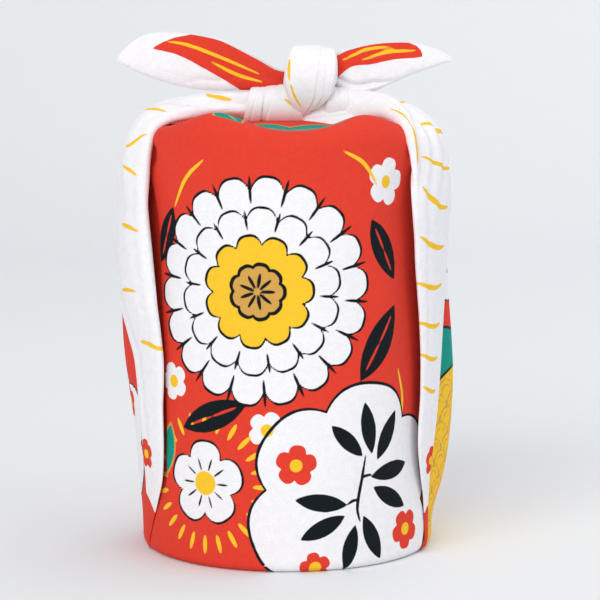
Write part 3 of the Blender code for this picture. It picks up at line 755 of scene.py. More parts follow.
def back_inks(x, z):
    """The print on the back: a white bloom on red, a snow ring with bamboo on each side of it, a
    gold field of waves under a green hill, and small plum blossoms."""
    edge = bloom(x, z, FLOWER, 33.0, 14, 0.15, 5)
    second = bloom(x, z, FLOWER, 22.0, 11, 0.17, 14)
    third = bloom(x, z, FLOWER, 14.5, 9, 0.17, 3)
    heart = bloom(x, z, FLOWER, 7.5, 8, 0.12, 0)
    rings = [bloom(x, z, (at_x, at_z), 25.0, 6, 0.17, turn) for at_x, at_z, turn in BACK_RINGS]
    ring_plums = plum_blossoms(x, z, BACK_RING_PLUMS)
    gold_field = oval(x, z, (-66.0, 22.0), 30.0, 36.0)
    hill = without(oval(x, z, (-73.0, 55.0), 24.0, 15.0, -18), gold_field)
    row = np.floor(z / WAVE_STEP)
    scallop_x = (x + (row % 2) * WAVE_WIDTH / 2 + WAVE_WIDTH / 2) % WAVE_WIDTH - WAVE_WIDTH / 2
    scallop = np.hypot(scallop_x, z - row * WAVE_STEP)
    waves = any_of(outline(scallop - 4.2, 0.7), outline(scallop - 2.4, 0.6))
    leaves = leaves_of(x, z, (*BACK_BAMBOO, *BACK_DARK_LEAVES))
    return {
        "red": np.full(np.broadcast(x, z).shape, -NO_INK),
        "petal": any_of(
            edge, *[without(ring, *ring_plums) for ring in rings],
            *plum_blossoms(x, z, WHITE_PLUMS)),
        "yellow": any_of(
            without(third, heart),
            gold_field,
            plum_hearts(x, z, (*BACK_RING_PLUMS, *WHITE_PLUMS), 1.9),
            brush(x, z, ((40.0, 124.0), (47.0, 112.0), (44.0, 98.0)), 1.4),
            brush(x, z, ((-8.0, 124.0), (-16.0, 126.0), (-24.0, 130.0)), 1.4),
            brush(x, z, ((10.0, 44.0), (4.0, 36.0), (2.0, 26.0)), 1.4)),
        "green": any_of(hill, leaves_of(x, z, BACK_GREEN_LEAVES)),
        "gold": any_of(heart, np.maximum(waves, gold_field + 1)),
        "black": any_of(
            outline(edge, 0.9),
            outline(second, 0.8),
            outline(third, 0.9),
            outline(hill, 0.9),
            *[outline(ring, 0.9) for ring in rings],
            rays(x, z, FLOWER, 23.0, 32.0, 14, 1.0, 5 + 180 / 14),
            rays(x, z, FLOWER, 1.0, 5.2, 8, 1.0),
            without(leaves, midribs(x, z, BACK_DARK_LEAVES, 0.8))),
    }


back = cloth_mesh("cloth_back", points, place, back_inks(art_x, art_z))

# The sides of the cloth: each side corner, folded in from front and rear into a flap of several
# layers of the cotton, drawn up the wall and over the rim, and gathered into a tie that the knot
# holds. The folds are soft rolls.

# width and thick: of the folded cloth; bow: how far its edges drop; turn: its lean in degrees;
# square: 2.4 for a round roll, more for a flat fold; tilt: how far its face is tipped forward
Strand = namedtuple("Strand", "x y z width thick bow turn square tilt", defaults=(0,))
LEFT_TIE = (
    Strand(-50.6, -8.8, 122.0, 35, 7.2, 3.4, -10, 3.6),
    Strand(-48.9, -7.6, 131.6, 33, 8.0, 3.2, -8, 2.8),
    Strand(-45.2, -6.8, 137.8, 29, 7.8, 2.8, -4, 2.5),
    Strand(-39.4, -6.2, 141.3, 26, 7.2, 2.6, 0, 2.4),
    Strand(-32.0, -5.8, 142.8, 23, 7.0, 2.2, 0, 2.4),
    Strand(-24.0, -5.2, 143.2, 19, 7.8, 1.2, 0, 2.3),
    Strand(-15.0, -4.8, 143.4, 16, 9.0, 0.2, 0, 2.2),
    Strand(-6.0, -4.4, 143.8, 15, 9.4, 0, 0, 2.2),
)
RIGHT_TIE = (
    Strand(48.5, -12.0, 122.0, 36, 6.2, 3.6, 14, 3.6),
    Strand(47.2, -9.8, 131.2, 35, 6.6, 3.2, 10, 2.8),
    Strand(43.8, -7.4, 136.8, 31, 6.6, 2.6, 6, 2.5),
    Strand(38.6, -5.8, 140.2, 26, 6.6, 1.8, 2, 2.4),
    Strand(32.0, -4.8, 142.2, 22, 7.0, 1.0, 0, 2.3),
    Strand(24.0, -4.4, 143.4, 18, 7.8, 0.4, 0, 2.2),
    Strand(16.0, -4.2, 143.8, 16, 8.8, 0, 0, 2.2),
    Strand(7.0, -4.2, 144.2, 14, 9.4, 0, 0, 2.2),
)
# Soft troughs along a side. up: from the base along it; across: -1 at its front edge, 1 at its
# rear, and less than -1 on the underside of the front edge
Trough = namedtuple("Trough", "up_low up_high across_low across_high depth width")
LEFT_TROUGHS = (
    Trough(144, 173, 0.02, -0.80, 1.9, 0.18),
    Trough(104, 160, -0.20, 0.05, 0.4, 0.12),
    Trough(60, 126, -0.50, -0.58, 0.3, 0.12),
    Trough(16, 90, 0.10, 0.30, 0.40, 0.14),
)
RIGHT_TROUGHS = (
    Trough(118, 175, -0.50, -0.44, 0.8, 0.07),
    Trough(96, 175, -0.12, -0.20, 0.8, 0.07),
    Trough(106, 175, 0.25, 0.10, 0.7, 0.07),
    Trough(50, 120, -0.48, -0.45, 0.45, 0.08),
    Trough(14, 84, 0.15, 0.25, 0.40, 0.12),
)
# The heights at which a flap's table is read, below its tie, the least that it stands off the
# wall, and the square of its sections, which are flat with rounded folds
FLAP_LEVELS = (1.0, 4, 8, 14, 20, 27, 35, 42, 50, 58, 65, 72, 80, 88, 96, 104, 112)
LEAST_PROUD = 0.4
FLAP_SQUARE = 9.0


def flap_strands(rows, side, full):
    """A flap's table as strands: their middles half a thickness under its face, turned with the
    wall, their edges dropped back by the arc of the face. full is the fold's thickness as a share
    of how far it stands off the wall."""
    strands = []
    for z in FLAP_LEVELS:
        front, rear, face = (
            float(flap_value(rows, name, z)) for name in ("front_fold", "rear_fold", "flap"))
        proud = max(face - WALL_RADIUS, LEAST_PROUD)
        lower = BASE_ROUND * (1 - math.sqrt(1 - max(1 - z / BASE_ROUND, 0) ** 2))
        thick = full * proud
        radius = WALL_RADIUS + proud - thick / 2 - lower
        middle = math.radians((front + rear) / 2)
        half = math.radians((rear - front) / 2)
        strands.append(Strand(
            side * radius * math.sin(middle), -radius * math.cos(middle), z,
            2 * radius * math.sin(half), thick, radius * (1 - math.cos(half)),
            side * (90 - math.degrees(middle)), FLAP_SQUARE))
    return tuple(strands)


# How finely a path is measured, and how far upwards a strand's face looks: it is turned to the
# side that points along (x, 0, UPWARDS), away from the wrap and up
PATH_STEPS = 400
UPWARDS = 60.0
# A trough comes in over this share of its run, with a swell on each side of it: how far off it
# stands and how wide it is, in widths of the trough, and its height as a share of the depth
RUN_IN = 0.4
SWELL_OFF = 1.9
SWELL_WIDTH = 1.2
SWELL_SHARE = 0.3


def strand_grid(rows, step, outer_points, inner_points, troughs=()):
    """Sections carried along a path, each square to it.

    A section is a flat oval: its half thickness is thick / 2 * (1 - |u|^square)^(1/2), with u
    from -1 to 1 across, on the parabola -bow * u^2. With u = sin(90 * a), a runs from -1 to 1
    over the face and on past them on the underside. A trough is a bell in a, sunk along the
    normal, between two low swells. Flat places are measured over the section and along the path.
    """
    known = np.arange(len(rows))
    fine = np.linspace(0, len(rows) - 1, PATH_STEPS)
    path = np.stack([smooth(fine, known, column(rows, name)) for name in "xyz"], axis=1)
    length = np.concatenate([[0], np.cumsum(np.linalg.norm(np.diff(path, axis=0), axis=1))])
    up = np.linspace(0, length[-1], int(length[-1] / step))
    row = np.interp(up, length, fine)
    at = {name: smooth(row, known, column(rows, name))[:, None] for name in Strand._fields}
    middle = np.concatenate([at["x"], at["y"], at["z"]], axis=1)
    forward = np.gradient(middle, axis=0)
    forward /= np.linalg.norm(forward, axis=1)[:, None]
    lean = np.radians(at["turn"])
    across = np.concatenate([np.sin(lean), np.cos(lean), 0 * lean], axis=1)
    across -= forward * np.sum(across * forward, axis=1)[:, None]
    across /= np.linalg.norm(across, axis=1)[:, None]
    out = np.cross(across, forward)
    outward = np.stack([middle[:, 0], 0 * up, np.full(len(up), UPWARDS)], axis=1)
    out *= np.sign(np.sum(out * outward, axis=1))[:, None]
    tip = np.radians(at["tilt"])
    across, out = (
        across * np.cos(tip) + out * np.sin(tip), out * np.cos(tip) - across * np.sin(tip))
    over = np.linspace(-1, 1, outer_points)
    below = np.linspace(1, 3, inner_points + 2)[1:-1]
    a = np.concatenate([over, np.where(below < 2, below, below - 4)])[None, :]
    u = np.sin(a * math.pi / 2)
    face = np.where(np.abs(a) <= 1, 1.0, -1.0)
    depth = face * at["thick"] / 2 * np.sqrt(np.maximum(1 - np.abs(u) ** at["square"], 0))
    depth = depth - at["bow"] * u**2
    width = at["width"] / 2 * u
    points = middle[:, None] + width[..., None] * across[:, None] + depth[..., None] * out[:, None]
    over_next = np.roll(points, -1, axis=1) - np.roll(points, 1, axis=1)
    normal = np.cross(over_next, forward[:, None])
    normal /= np.maximum(np.linalg.norm(normal, axis=2), 1e-6)[..., None]
    middle_out = np.sum(normal[:, outer_points // 2] * out, axis=1)
    normal *= np.sign(middle_out)[:, None, None]
    up = up[:, None]
    sunk = np.zeros_like(width)
    for trough in troughs:
        share = np.clip((up - trough.up_low) / (trough.up_high - trough.up_low), 0, 1)
        line = trough.across_low + (trough.across_high - trough.across_low) * share
        run_in = RUN_IN * (trough.up_high - trough.up_low)
        held = eased(up, trough.up_low, trough.up_low + run_in)
        away = (a - line) / trough.width
        swells = sum(np.exp(-((away + off) / SWELL_WIDTH) ** 2) for off in (-SWELL_OFF, SWELL_OFF))
        sunk += trough.depth * held * (np.exp(-away**2) - SWELL_SHARE * swells)
    points = points - sunk[..., None] * normal
    steps = np.linalg.norm(np.diff(points, axis=1), axis=2)
    over_face = np.concatenate([np.zeros_like(up), np.cumsum(steps, axis=1)], axis=1)
    over_face -= over_face[:, outer_points // 2][:, None]
    place = np.stack(np.broadcast_arrays(over_face, up), axis=2)
    return points, place, width


# A stroke is a short arc: shares of its way across, of how far its rear end hangs lower, and of
# its length that it sags
STROKE_ROUTE = ((0.0, 0.0, 0.0), (0.3, 0.5, 0.04), (0.65, 0.88, 0.05), (1.0, 1.0, 0.0))


def stroke_rows(x, up, lines):
    """Signed distance to short brushed lines, each a gentle arc across the cloth.

    Each line has its place along the cloth, its two ends across it, how far its rear end hangs
    lower, and its width.
    """
    return any_of(*[
        brush(x, up, [
            (front + (rear - front) * way, at - hang * drop - (rear - front) * sag)
            for way, drop, sag in STROKE_ROUTE], width)
        for at, front, rear, hang, width in lines])


# Brushed lines up each side: place along it, front and rear end across it, how far the rear end
# hangs lower, and width
LEFT_STROKES = (
    (171, -6.5, -3, 8, 1.1), (150, -11, -2, 5, 1.2), (139, -15, -8, 6, 1.2),
    (124, -16, -7, -3, 1.2), (103, -17, -5, -5, 1.5), (84, -9, 3, -4, 1.3),
    (66, -12, -2, -4, 1.4))
RIGHT_STROKES = (
    (172, -3, 8, 4, 1.2), (160, 0, 12, 3, 1.4), (149, -3, 11, 3, 1.4), (138, -13, 5, 3, 1.6),
    (126, -17, 1, 2.2, 1.7), (114, -17, 3, 2.4, 1.6), (101, -16, 1, 2, 1.7), (89, -15, 2, 2.2, 1.6),
    (76, -13, 2, 2, 1.6), (65, -11, 1, 2, 1.6), (54, -9, 2, 1.6, 1.5))


def side_inks(x, up, strokes, red_top):
    """The print on a side: white cotton with yellow brushed needles, a red foot with a wavy edge
    at red_top, and a plum blossom and a leaf above it."""
    plum = Plum(3.0, red_top + 20, 5.0, 10)
    foot = up - red_top - 5 * np.sin(x / 7 + 1)
    return {
        "red": any_of(foot, *plum_blossoms(x, up, [plum])),
        "yellow": any_of(stroke_rows(x, up, strokes), plum_hearts(x, up, [plum], 1.5)),
        "black": leaf(x, up, (9.0, red_top + 27), 12, 4, 60),
    }


# sign: -1 on the left; full: the flap's thickness as a share of how far it stands off the wall
Side = namedtuple("Side", "name flap tie sign full troughs strokes red_top wide area")
SIDES = (
    Side(
        "cloth_left_side", LEFT_FLAP, LEFT_TIE, -1, 0.64, LEFT_TROUGHS, LEFT_STROKES,
        red_top=13.0, wide=0.042, area=0.0054),
    Side(
        "cloth_right_side", RIGHT_FLAP, RIGHT_TIE, 1, 0.60, RIGHT_TROUGHS, RIGHT_STROKES,
        red_top=9.0, wide=0.038, area=0.0046),
)
for side in SIDES:
    rows = flap_strands(side.flap, side.sign, side.full) + side.tie
    points, place, width = strand_grid(
        rows, step=0.62, outer_points=120, inner_points=44, troughs=side.troughs)
    inks = side_inks(width, place[:, :, 1], side.strokes, side.red_top)
    piece = cloth_mesh(side.name, points, place, inks, around=True, flip=side.sign < 0)

# The right tie's front fold: the edge of the same cotton, rolled over on itself. It comes out of
# the knot, lies on the tie and runs down into the flap's front fold.
RIGHT_ROLL = (
    Strand(8.0, -6.4, 143.8, 9, 4.0, 0, 0, 2.6, 40),
    Strand(17.0, -8.2, 144.0, 9.5, 4.4, 0, 0, 2.8, 50),
    Strand(24.4, -11.2, 143.9, 10.5, 5.4, 0, 4, 2.8, 52),
    Strand(31.0, -15.2, 143.1, 9.0, 5.4, 0, 12, 2.6, 46),
    Strand(34.8, -19.8, 140.9, 6.8, 4.8, 0, 24, 2.4, 34),
    Strand(36.9, -24.0, 138.5, 5.2, 4.0, 0.1, 34, 2.2, 18),
    Strand(38.4, -27.6, 135.3, 4.0, 3.2, 0.1, 44, 2.2, 6),
    Strand(39.5, -29.8, 130.0, 3.0, 2.2, 0.1, 50, 2.2, 0),
    Strand(40.2, -30.8, 123.0, 2.2, 1.4, 0.1, 53, 2.2, 0),
    Strand(40.6, -31.4, 116.0, 1.6, 0.8, 0.1, 53, 2.2, 0),
)
ROLL_TROUGH = Trough(4, 34, 0.10, 0.30, 0.35, 0.16)
ROLL_STROKE = ((-1.5, 30.0), (0.5, 38.0), (1.0, 45.0), (0.4, 53.0))
points, place, width = strand_grid(
    RIGHT_ROLL, step=0.5, outer_points=72, inner_points=40, troughs=[ROLL_TROUGH])
inks = {"yellow": brush(width, place[:, :, 1], ROLL_STROKE, 1.1)}
piece = cloth_mesh("cloth_right_roll", points, place, inks, around=True, flip=True)

# Two more folds of the right tie show under the knot, of the same cotton, pressed flat between
# the knot and the top of the wrap.
UNDER_TROUGH = Trough(4, 24, -0.8, -0.5, 0.35, 0.1)
UNDER_FOLDS = {
    "cloth_under_fold_high": (
        Strand(1.0, -5.0, 140.6, 8, 4.0, 0, 0, 2.3, 30),
        Strand(9.0, -8.6, 141.0, 8, 4.2, 0, 0, 2.3, 40),
        Strand(15.0, -9.8, 141.2, 8, 4.2, 0, 0, 2.3, 40),
        Strand(21.0, -10.6, 141.4, 7, 4.0, 0, 4, 2.3, 40),
        Strand(27.0, -10.8, 141.8, 6, 3.0, 0, 8, 2.3, 40),
    ),
    "cloth_under_fold_low": (
        Strand(1.0, -4.0, 138.4, 8, 3.0, 0, 0, 2.4, 12),
        Strand(8.0, -8.4, 138.6, 9, 3.2, 0, 0, 2.4, 16),
        Strand(14.0, -11.4, 138.9, 9, 3.2, 0, 0, 2.4, 20),
        Strand(20.0, -13.0, 139.2, 8, 3.0, 0, 4, 2.4, 20),
        Strand(25.0, -12.0, 139.6, 5, 2.2, 0, 8, 2.4, 20),
    ),
}
for name, rows in UNDER_FOLDS.items():
    points, place, width = strand_grid(
        rows, step=0.5, outer_points=40, inner_points=30, troughs=[UNDER_TROUGH])
    piece = cloth_mesh(name, points, place, {}, around=True, flip=True)

# The knot: the two ties, crossed and turned once round each other, of the same cotton gathered
# in many layers. The widest turn stands in front, pulled to a point below, with two folds down
# its right; three narrower turns lie beside it.

# A turn's two rims, in mm to the right, by angle round it from its top, forwards
Turn = namedtuple("Turn", "angle left right")
FRONT_LOOP = (
    Turn(0, 1.0, 15.9),
    Turn(45, -0.5, 16.3),
    Turn(90, -1.0, 15.4),
    Turn(108, -0.2, 14.2),
    Turn(122, 1.0, 11.4),
    Turn(135, 1.8, 8.0),
    Turn(150, 2.4, 5.6),
    Turn(180, 2.0, 5.4),
    Turn(215, 1.0, 11.0),
    Turn(270, 0.5, 15.0),
    Turn(360, 1.0, 15.9),
)
LEFT_TURN = (
    Turn(0, -11.4, -5.6),
    Turn(90, -13.2, -7.6),
    Turn(180, -14.4, -8.4),
    Turn(270, -13.0, -7.0),
    Turn(360, -11.4, -5.6),
)
MIDDLE_TURN = (
    Turn(0, -7.2, 4.0),
    Turn(90, -8.6, 5.0),
    Turn(180, -8.8, 5.6),
    Turn(270, -8.0, 5.0),
    Turn(360, -7.2, 4.0),
)
RIGHT_TURN = (
    Turn(0, 12.0, 22.0),
    Turn(90, 12.0, 22.8),
    Turn(180, 11.0, 22.4),
    Turn(270, 12.0, 22.0),
    Turn(360, 12.0, 22.0),
)
# A fold line down a turn: its share across at the turn's top and at its foot, how far the cloth
# steps down past it, the depth of its groove, and its width as a share of the turn's
FoldLine = namedtuple("FoldLine", "top foot step groove width")
# A brushed line round a turn: the angle where it starts, its shares across at its two ends, and
# its width
Line = namedtuple("Line", "angle low high width")
# A turn's middle, half-sizes, and how far it closes in at its ends, as a share of its size
Wrap = namedtuple("Wrap", "turns y z half_depth half_height rim folds lines")
WRAPS = {
    "cloth_right_turn": Wrap(
        RIGHT_TURN, -4.6, 143.9, 8.6, 6.1, 0.64,
        folds=(FoldLine(0.35, 0.55, 0.03, 0.02, 0.03), FoldLine(0.7, 0.8, 0.04, 0.02, 0.03)),
        lines=()),
    "cloth_left_turn": Wrap(
        LEFT_TURN, -4.4, 143.2, 9.6, 6.7, 0.64,
        folds=(FoldLine(0.60, 0.35, 0.0, 0.022, 0.06),),
        lines=()),
    "cloth_middle_turn": Wrap(
        MIDDLE_TURN, -4.4, 143.4, 9.0, 6.9, 0.64,
        folds=(FoldLine(0.40, 0.10, -0.035, 0.02, 0.03),),
        lines=(Line(70, 0.55, 0.95, 1.1),)),
    "cloth_front_loop": Wrap(
        FRONT_LOOP, -4.2, 149.9, 11.8, 12.8, 0.36,
        folds=(
            FoldLine(0.68, 0.58, 0.034, 0.010, 0.014),
            FoldLine(0.77, 0.80, 0.022, 0.008, 0.012),
            FoldLine(0.34, 0.52, 0.0, 0.012, 0.10)),
        lines=(Line(48, 0.10, 0.14, 1.0), Line(88, 0.16, 0.26, 0.9))),
}
# How a turn closes in towards its rims: share across, and share of its full size
RIM_SHARES = (
    (0.0, 0.36), (0.012, 0.70), (0.03, 0.87), (0.07, 0.955), (0.16, 0.99), (0.42, 1.0),
    (0.62, 1.0), (0.80, 0.995), (0.90, 0.98), (0.96, 0.94), (0.985, 0.84), (0.995, 0.68),
    (1.0, 0.36))


def wrap_grid(wrap, rings, around):
    """A turn of cloth on an axis along X, as rings from its left rim to its right one.

    Each point is y - half_depth * size * sin(angle), z + half_height * size * cos(angle). size
    follows the rim table, and past each fold line it is less by that line's step.
    """
    share = 0.5 - 0.5 * np.cos(np.linspace(0, math.pi, rings))[:, None]
    angle = np.linspace(0, 360, around, endpoint=False)[None, :]
    left = smooth(angle, column(wrap.turns, "angle"), column(wrap.turns, "left"))
    right = smooth(angle, column(wrap.turns, "angle"), column(wrap.turns, "right"))
    known = np.array(RIM_SHARES)
    size = np.maximum(smooth(share, known[:, 0], known[:, 1]), wrap.rim)
    front = 0.5 - 0.5 * np.cos(np.radians(angle))
    size = np.broadcast_to(size, (rings, around)).copy()
    for fold in wrap.folds:
        away = (share - fold.top - (fold.foot - fold.top) * front) / fold.width
        size -= fold.step * eased(away, -1, 1) + fold.groove * np.exp(-away**2)
    turn = np.radians(angle)
    points = np.stack(np.broadcast_arrays(
        left + share * (right - left),
        wrap.y - wrap.half_depth * size * np.sin(turn),
        wrap.z + wrap.half_height * size * np.cos(turn)), axis=2)
    round_mm = (wrap.half_depth + wrap.half_height) / 2 * turn
    steps = np.linalg.norm(np.diff(points, axis=0), axis=2)
    across_mm = np.concatenate([np.zeros((1, around)), np.cumsum(steps, axis=0)])
    across_mm -= across_mm[rings // 2]
    place = np.stack(np.broadcast_arrays(across_mm, round_mm), axis=2)
    return points, place, share * (right - left)


# A brushed line goes this far round a turn, and its shares are of this width
LINE_TURN_DEG = 34
LINE_ACROSS_MM = 14
# The cloth that turns in at a turn's rims, as a share of its radius
TURNED_IN = 0.7
for name, wrap in WRAPS.items():
    points, place, across = wrap_grid(wrap, rings=96, around=168)
    mean_radius = (wrap.half_depth + wrap.half_height) / 2
    inks = {}
    for line in wrap.lines:
        route = [
            (share * LINE_ACROSS_MM, math.radians(angle) * mean_radius)
            for share, angle in ((line.low, line.angle), (line.high, line.angle + LINE_TURN_DEG))]
        brushed = brush(across, place[:, :, 1], route, line.width)
        inks["yellow"] = np.minimum(inks.get("yellow", brushed), brushed)
    piece = cloth_mesh(name, points, place, inks, around=True)
    wide = np.mean(column(wrap.turns, "right") - column(wrap.turns, "left"))
    wide += TURNED_IN * mean_radius

# The ears: the two free corners of the cotton beyond the knot, each folded along its middle into
# a pointed leaf that is open along the top. The loop holds them. Their white borders show, and
# the seam of the hem above their lower edges.

# A section of an ear, out from the knot: its middle's depth, its fold, its open top and half the
# gap between its two layers
Ear = namedtuple("Ear", "x y bottom top puff")
LEFT_EAR = (
    Ear(4.0, -4.4, 148.6, 153.6, 3.0),
    Ear(-3.0, -5.4, 148.9, 154.6, 3.4),
    Ear(-8.5, -6.0, 148.5, 157.6, 4.0),
    Ear(-14.5, -6.6, 148.3, 160.8, 4.4),
    Ear(-21.0, -7.2, 148.2, 164.0, 4.8),
    Ear(-27.5, -7.6, 148.5, 165.6, 5.0),
    Ear(-34.0, -7.8, 149.6, 166.5, 4.8),
    Ear(-40.3, -7.8, 151.3, 166.8, 4.3),
    Ear(-46.0, -7.6, 153.4, 165.8, 3.4),
    Ear(-50.2, -7.4, 155.4, 163.2, 2.5),
    Ear(-52.8, -7.2, 156.8, 160.6, 1.7),
    Ear(-54.0, -7.1, 157.5, 158.9, 0.9),
)
RIGHT_EAR = (
    Ear(9.0, -4.4, 150.4, 157.6, 3.0),
    Ear(15.5, -5.6, 149.4, 159.2, 3.6),
    Ear(19.0, -6.2, 147.5, 160.8, 4.4),
    Ear(23.0, -6.6, 146.9, 162.0, 4.8),
    Ear(28.0, -7.0, 148.0, 163.0, 4.8),
    Ear(34.0, -7.2, 150.7, 163.5, 4.4),
    Ear(40.0, -7.2, 153.3, 163.4, 3.7),
    Ear(45.0, -7.0, 155.0, 162.4, 2.9),
    Ear(49.4, -6.8, 156.6, 160.8, 2.0),
    Ear(52.8, -6.6, 157.6, 158.9, 0.9),
)
# The cloth's thickness as the ears' hollows show it
CLOTH_MM = 0.7
# How far the back layer stands above the front one at the top, by distance from the knot
BACK_RISE = ((4, 0.6), (10, 1.1), (18, 0.9), (26, 0.2), (54, 0.0))
# The crease that runs out from the knot, by distance from the knot: its place round the section,
# in radians; its half-width there; and where it comes in and goes out
CREASE_LINE = ((15, 0.60), (16, 0.63), (21.6, 0.84), (27.5, 0.86), (36, 1.2))
CREASE_WIDTH = 0.11
CREASE_IN = (7, 15)
CREASE_OUT = (25, 36)
# A shallow dip above it: its depth, place, half-width, and where it goes out
DIP = 0.35
DIP_LINE = 0.45
DIP_WIDTH = 0.2
DIP_OUT = (16, 44)
# Ripples across the ear: how high, and how far apart over 2 pi
EAR_RIPPLE = 0.30
EAR_RIPPLE_MM = 4.1
# How much nearer than HEM_MM the seam runs to the ear's lower edge
SEAM_LOWER = 1.6


def ear_grid(rows, points_round, rings, crease):
    """Sections of a folded leaf: down its front, round the fold, up its back, and back inside.

    With t from 0 to pi, depth is -puff * cos(t) * (0.34 + 0.66 * sin(t)) and the drop from the
    top is (top - bottom) * sin(t)^0.75. The inside is the same, one thickness in. crease is the
    depth of the crease that runs out from the knot above the lower edge. Also returns flat
    places, the distance from the open edge, which points are outside, and the hem's distance.
    """
    at = np.linspace(0, len(rows) - 1, rings)
    value = {n: smooth(at, np.arange(len(rows)), column(rows, n))[:, None] for n in Ear._fields}
    t = np.linspace(0, math.pi, points_round)[None, :]
    drop = np.sin(t) ** 0.75
    height = value["top"] - value["bottom"]
    outer_y = -value["puff"] * np.cos(t) * (0.34 + 0.66 * np.sin(t))
    outer_z = value["top"] - height * drop
    reach = np.abs(value["x"])
    outer_z = outer_z + np.interp(reach, *np.transpose(BACK_RISE)) * eased(-np.cos(t), 0.3, 1)
    rippled = EAR_RIPPLE * np.sin(value["x"] / EAR_RIPPLE_MM + 1.0) * np.cos(t) ** 2 * np.sin(t)
    line = np.interp(reach, *np.transpose(CREASE_LINE))
    creased = np.exp(-((t - line) / CREASE_WIDTH) ** 2)
    creased = creased * eased(reach, *CREASE_IN) * (1 - eased(reach, *CREASE_OUT))
    dipped = np.exp(-((t - DIP_LINE) / DIP_WIDTH) ** 2) * (1 - eased(reach, *DIP_OUT))
    outer_y = outer_y + rippled + crease * creased + DIP * dipped
    share = 1 - np.minimum(CLOTH_MM / value["puff"], 0.5)
    inner_y = outer_y * share
    inner_z = outer_z + np.minimum(CLOTH_MM, 0.3 * height) * drop
    y = value["y"] + np.concatenate([outer_y, inner_y[:, ::-1]], axis=1)
    z = np.concatenate([outer_z, inner_z[:, ::-1]], axis=1)
    x = np.broadcast_to(value["x"], z.shape)
    edge = np.concatenate([height * drop, (height * drop)[:, ::-1]], axis=1)
    outside = np.concatenate([np.ones_like(t, bool), np.zeros_like(t, bool)], axis=1)
    points = np.stack([x, y, z], axis=2)
    steps = np.linalg.norm(np.diff(points, axis=1), axis=2)
    round_mm = np.concatenate([np.zeros((rings, 1)), np.cumsum(steps, axis=1)], axis=1)
    above_fold = height * (1 - drop)
    hem = np.where(outside, np.concatenate([above_fold, above_fold], axis=1) + SEAM_LOWER, NO_HEM)
    return points, np.stack([x, round_mm], axis=2), edge, outside, hem


# lower: the print's lower edge, as x and z along it; upper: its upper edge near the tip, as the
# distance from the tip and z; strokes: brushed lines, as the distance from the middle and z
Corner = namedtuple("Corner", "name rows sign crease lower upper strokes flat area")
CORNERS = (
    Corner(
        "cloth_left_ear", LEFT_EAR, -1, 0.5,
        lower=((-54.0, 166.0), (-43.2, 161.7), (-35.2, 159.8), (-26.3, 155.3), (-17.6, 150.2),
               (-15.1, 148.6), (4.0, 146.0)),
        upper=((10.4, 161.4), (14.2, 163.5), (18.4, 165.2), (24.4, 166.3), (27.0, 172.0)),
        strokes=(((9, 153.6), (20, 158.4), (31, 162.6), (39, 164.2)),
                 ((8, 151.0), (16, 153.4), (24, 157.4))),
        flat=(0.062, 0.036), area=0.0016),
    Corner(
        "cloth_right_ear", RIGHT_EAR, 1, 1.7,
        lower=((9.0, 148.0), (16.4, 152.6), (19.5, 155.2), (27.1, 156.7), (34.6, 158.2),
               (43.6, 159.2), (53.0, 164.0)),
        upper=((9.4, 159.6), (10.1, 161.2), (11.5, 162.6), (13.7, 163.4), (15.5, 172.0)),
        strokes=(((18, 158), (26, 161.5), (34, 162)), ((24, 158), (32, 160.5), (41, 161))),
        flat=(0.050, 0.044), area=0.0011),
)
# Past the end of the upper edge the print has no red: a height under every ear
BELOW_EARS = 150.0
# Inside an ear the red keeps this far from its open edge and from its tip
INSIDE_BORDER = 8.0
INSIDE_TIP = 12.0
for ear in CORNERS:
    points, place, edge, outside, hem = ear_grid(
        ear.rows, points_round=90, rings=190, crease=ear.crease)
    x, z = points[:, :, 0], points[:, :, 2]
    print_edge = smooth(x, *np.transpose(ear.lower)) - z
    from_tip = abs(ear.rows[-1].x) - np.abs(x)
    inside = np.maximum(np.maximum(INSIDE_BORDER - edge, INSIDE_TIP - from_tip), print_edge + 1)
    upper_edge = z - np.interp(from_tip, *np.transpose(ear.upper), left=BELOW_EARS)
    red = np.where(outside, np.maximum(print_edge, upper_edge), inside)
    yellow = any_of(*[brush(np.abs(x), z, route, 1.1) for route in ear.strokes])
    yellow = np.where(outside, np.maximum(yellow, red + 0.4), NO_INK)
    piece = cloth_mesh(
        ear.name, points, place, {"red": red, "yellow": yellow}, hem, around=True,
        flip=ear.sign < 0)

# The table: a sheet of white paper, curved up behind the wrap with no edge in sight. The soft
# light comes from a window on the left, with a weak fill on the right and a lamp over the paper.
SWEEP_FRONT = 3.0
SWEEP_BACK = 0.9
SWEEP_ROUND = 0.5
SWEEP_TOP = 2.2
SWEEP_HALF_WIDTH = 3.0
PAPER = "#E8EAEC"
sweep_turn = np.linspace(0, math.pi / 2, 24)
sweep_y = [-SWEEP_FRONT, *(SWEEP_BACK + SWEEP_ROUND * np.sin(sweep_turn)), SWEEP_BACK + SWEEP_ROUND]
sweep_z = [0, *(SWEEP_ROUND * (1 - np.cos(sweep_turn))), SWEEP_TOP]
sweep_mesh = bpy.data.meshes.new("paper_sweep")
corners = [
    (x, y, z) for y, z in zip(sweep_y, sweep_z) for x in (-SWEEP_HALF_WIDTH, SWEEP_HALF_WIDTH)]
sweep_mesh.from_pydata(
    corners, [], [(2 * i, 2 * i + 1, 2 * i + 3, 2 * i + 2) for i in range(len(sweep_y) - 1)])
sweep_mesh.shade_smooth()
sweep = bpy.data.objects.new("paper_sweep", sweep_mesh)
bpy.context.scene.collection.objects.link(sweep)
paper = bpy.data.materials.new("white_paper")
paper.use_nodes = True
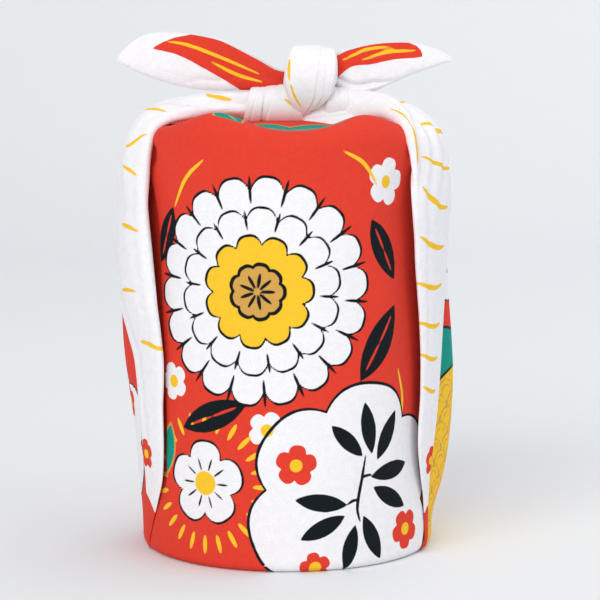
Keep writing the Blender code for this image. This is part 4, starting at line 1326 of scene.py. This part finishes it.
paper_shader = paper.node_tree.nodes["Principled BSDF"]
paper_shader.inputs["Base Color"].default_value = linear(PAPER)
paper_shader.inputs["Roughness"].default_value = 0.8
paper_shader.inputs["Specular IOR Level"].default_value = 0.2
sweep_mesh.materials.append(paper)

Lamp = namedtuple("Lamp", "name place aim size watts colour")
LAMPS = (
    Lamp("window_light", (-0.80, -1.7, 1.2), (0, 0, 0.09), 1.5, 24.8, "#FFFDFA"),
    Lamp("fill_light", (1.3, -1.0, 0.8), (0, 0, 0.08), 1.2, 5.0, "#F6F9FF"),
    Lamp("top_light", (0.8, 0.5, 1.5), (0.6, 0.6, 0.0), 1.4, 8.0, "#FFFFFF"),
)
for lamp in LAMPS:
    light = bpy.data.lights.new(lamp.name, "AREA")
    light.size = lamp.size
    light.energy = lamp.watts
    light.color = linear(lamp.colour)[:3]
    holder = bpy.data.objects.new(lamp.name, light)
    holder.location = lamp.place
    away = np.subtract(lamp.aim, lamp.place)
    flat_way = math.hypot(away[0], away[1])
    holder.rotation_euler = (
        math.atan2(flat_way, -away[2]), 0, math.atan2(away[1], away[0]) - math.pi / 2)
    bpy.context.scene.collection.objects.link(holder)

# The camera stands 0.72 m in front of the wrap and a little above its knot, with a long lens
CAMERA_PLACE = (0.0042, -0.722, 0.170)
CAMERA_DOWN_DEG = 7.13
CAMERA_LENS_MM = 133.3

camera = bpy.data.objects.new("camera", bpy.data.cameras.new("camera"))
camera.location = CAMERA_PLACE
camera.rotation_euler = (math.radians(90 - CAMERA_DOWN_DEG), 0, 0)
camera.data.sensor_width = 36.0
camera.data.lens = CAMERA_LENS_MM
bpy.context.scene.collection.objects.link(camera)
bpy.context.scene.camera = camera

ROOM_LIGHT = "#EEF1F4"
ROOM_STRENGTH = 0.62
world = bpy.data.worlds.new("room")
world.use_nodes = True
background = world.node_tree.nodes["Background"]
background.inputs["Color"].default_value = linear(ROOM_LIGHT)
background.inputs["Strength"].default_value = ROOM_STRENGTH
bpy.context.scene.world = world
bpy.context.scene.view_settings.view_transform = "Standard"
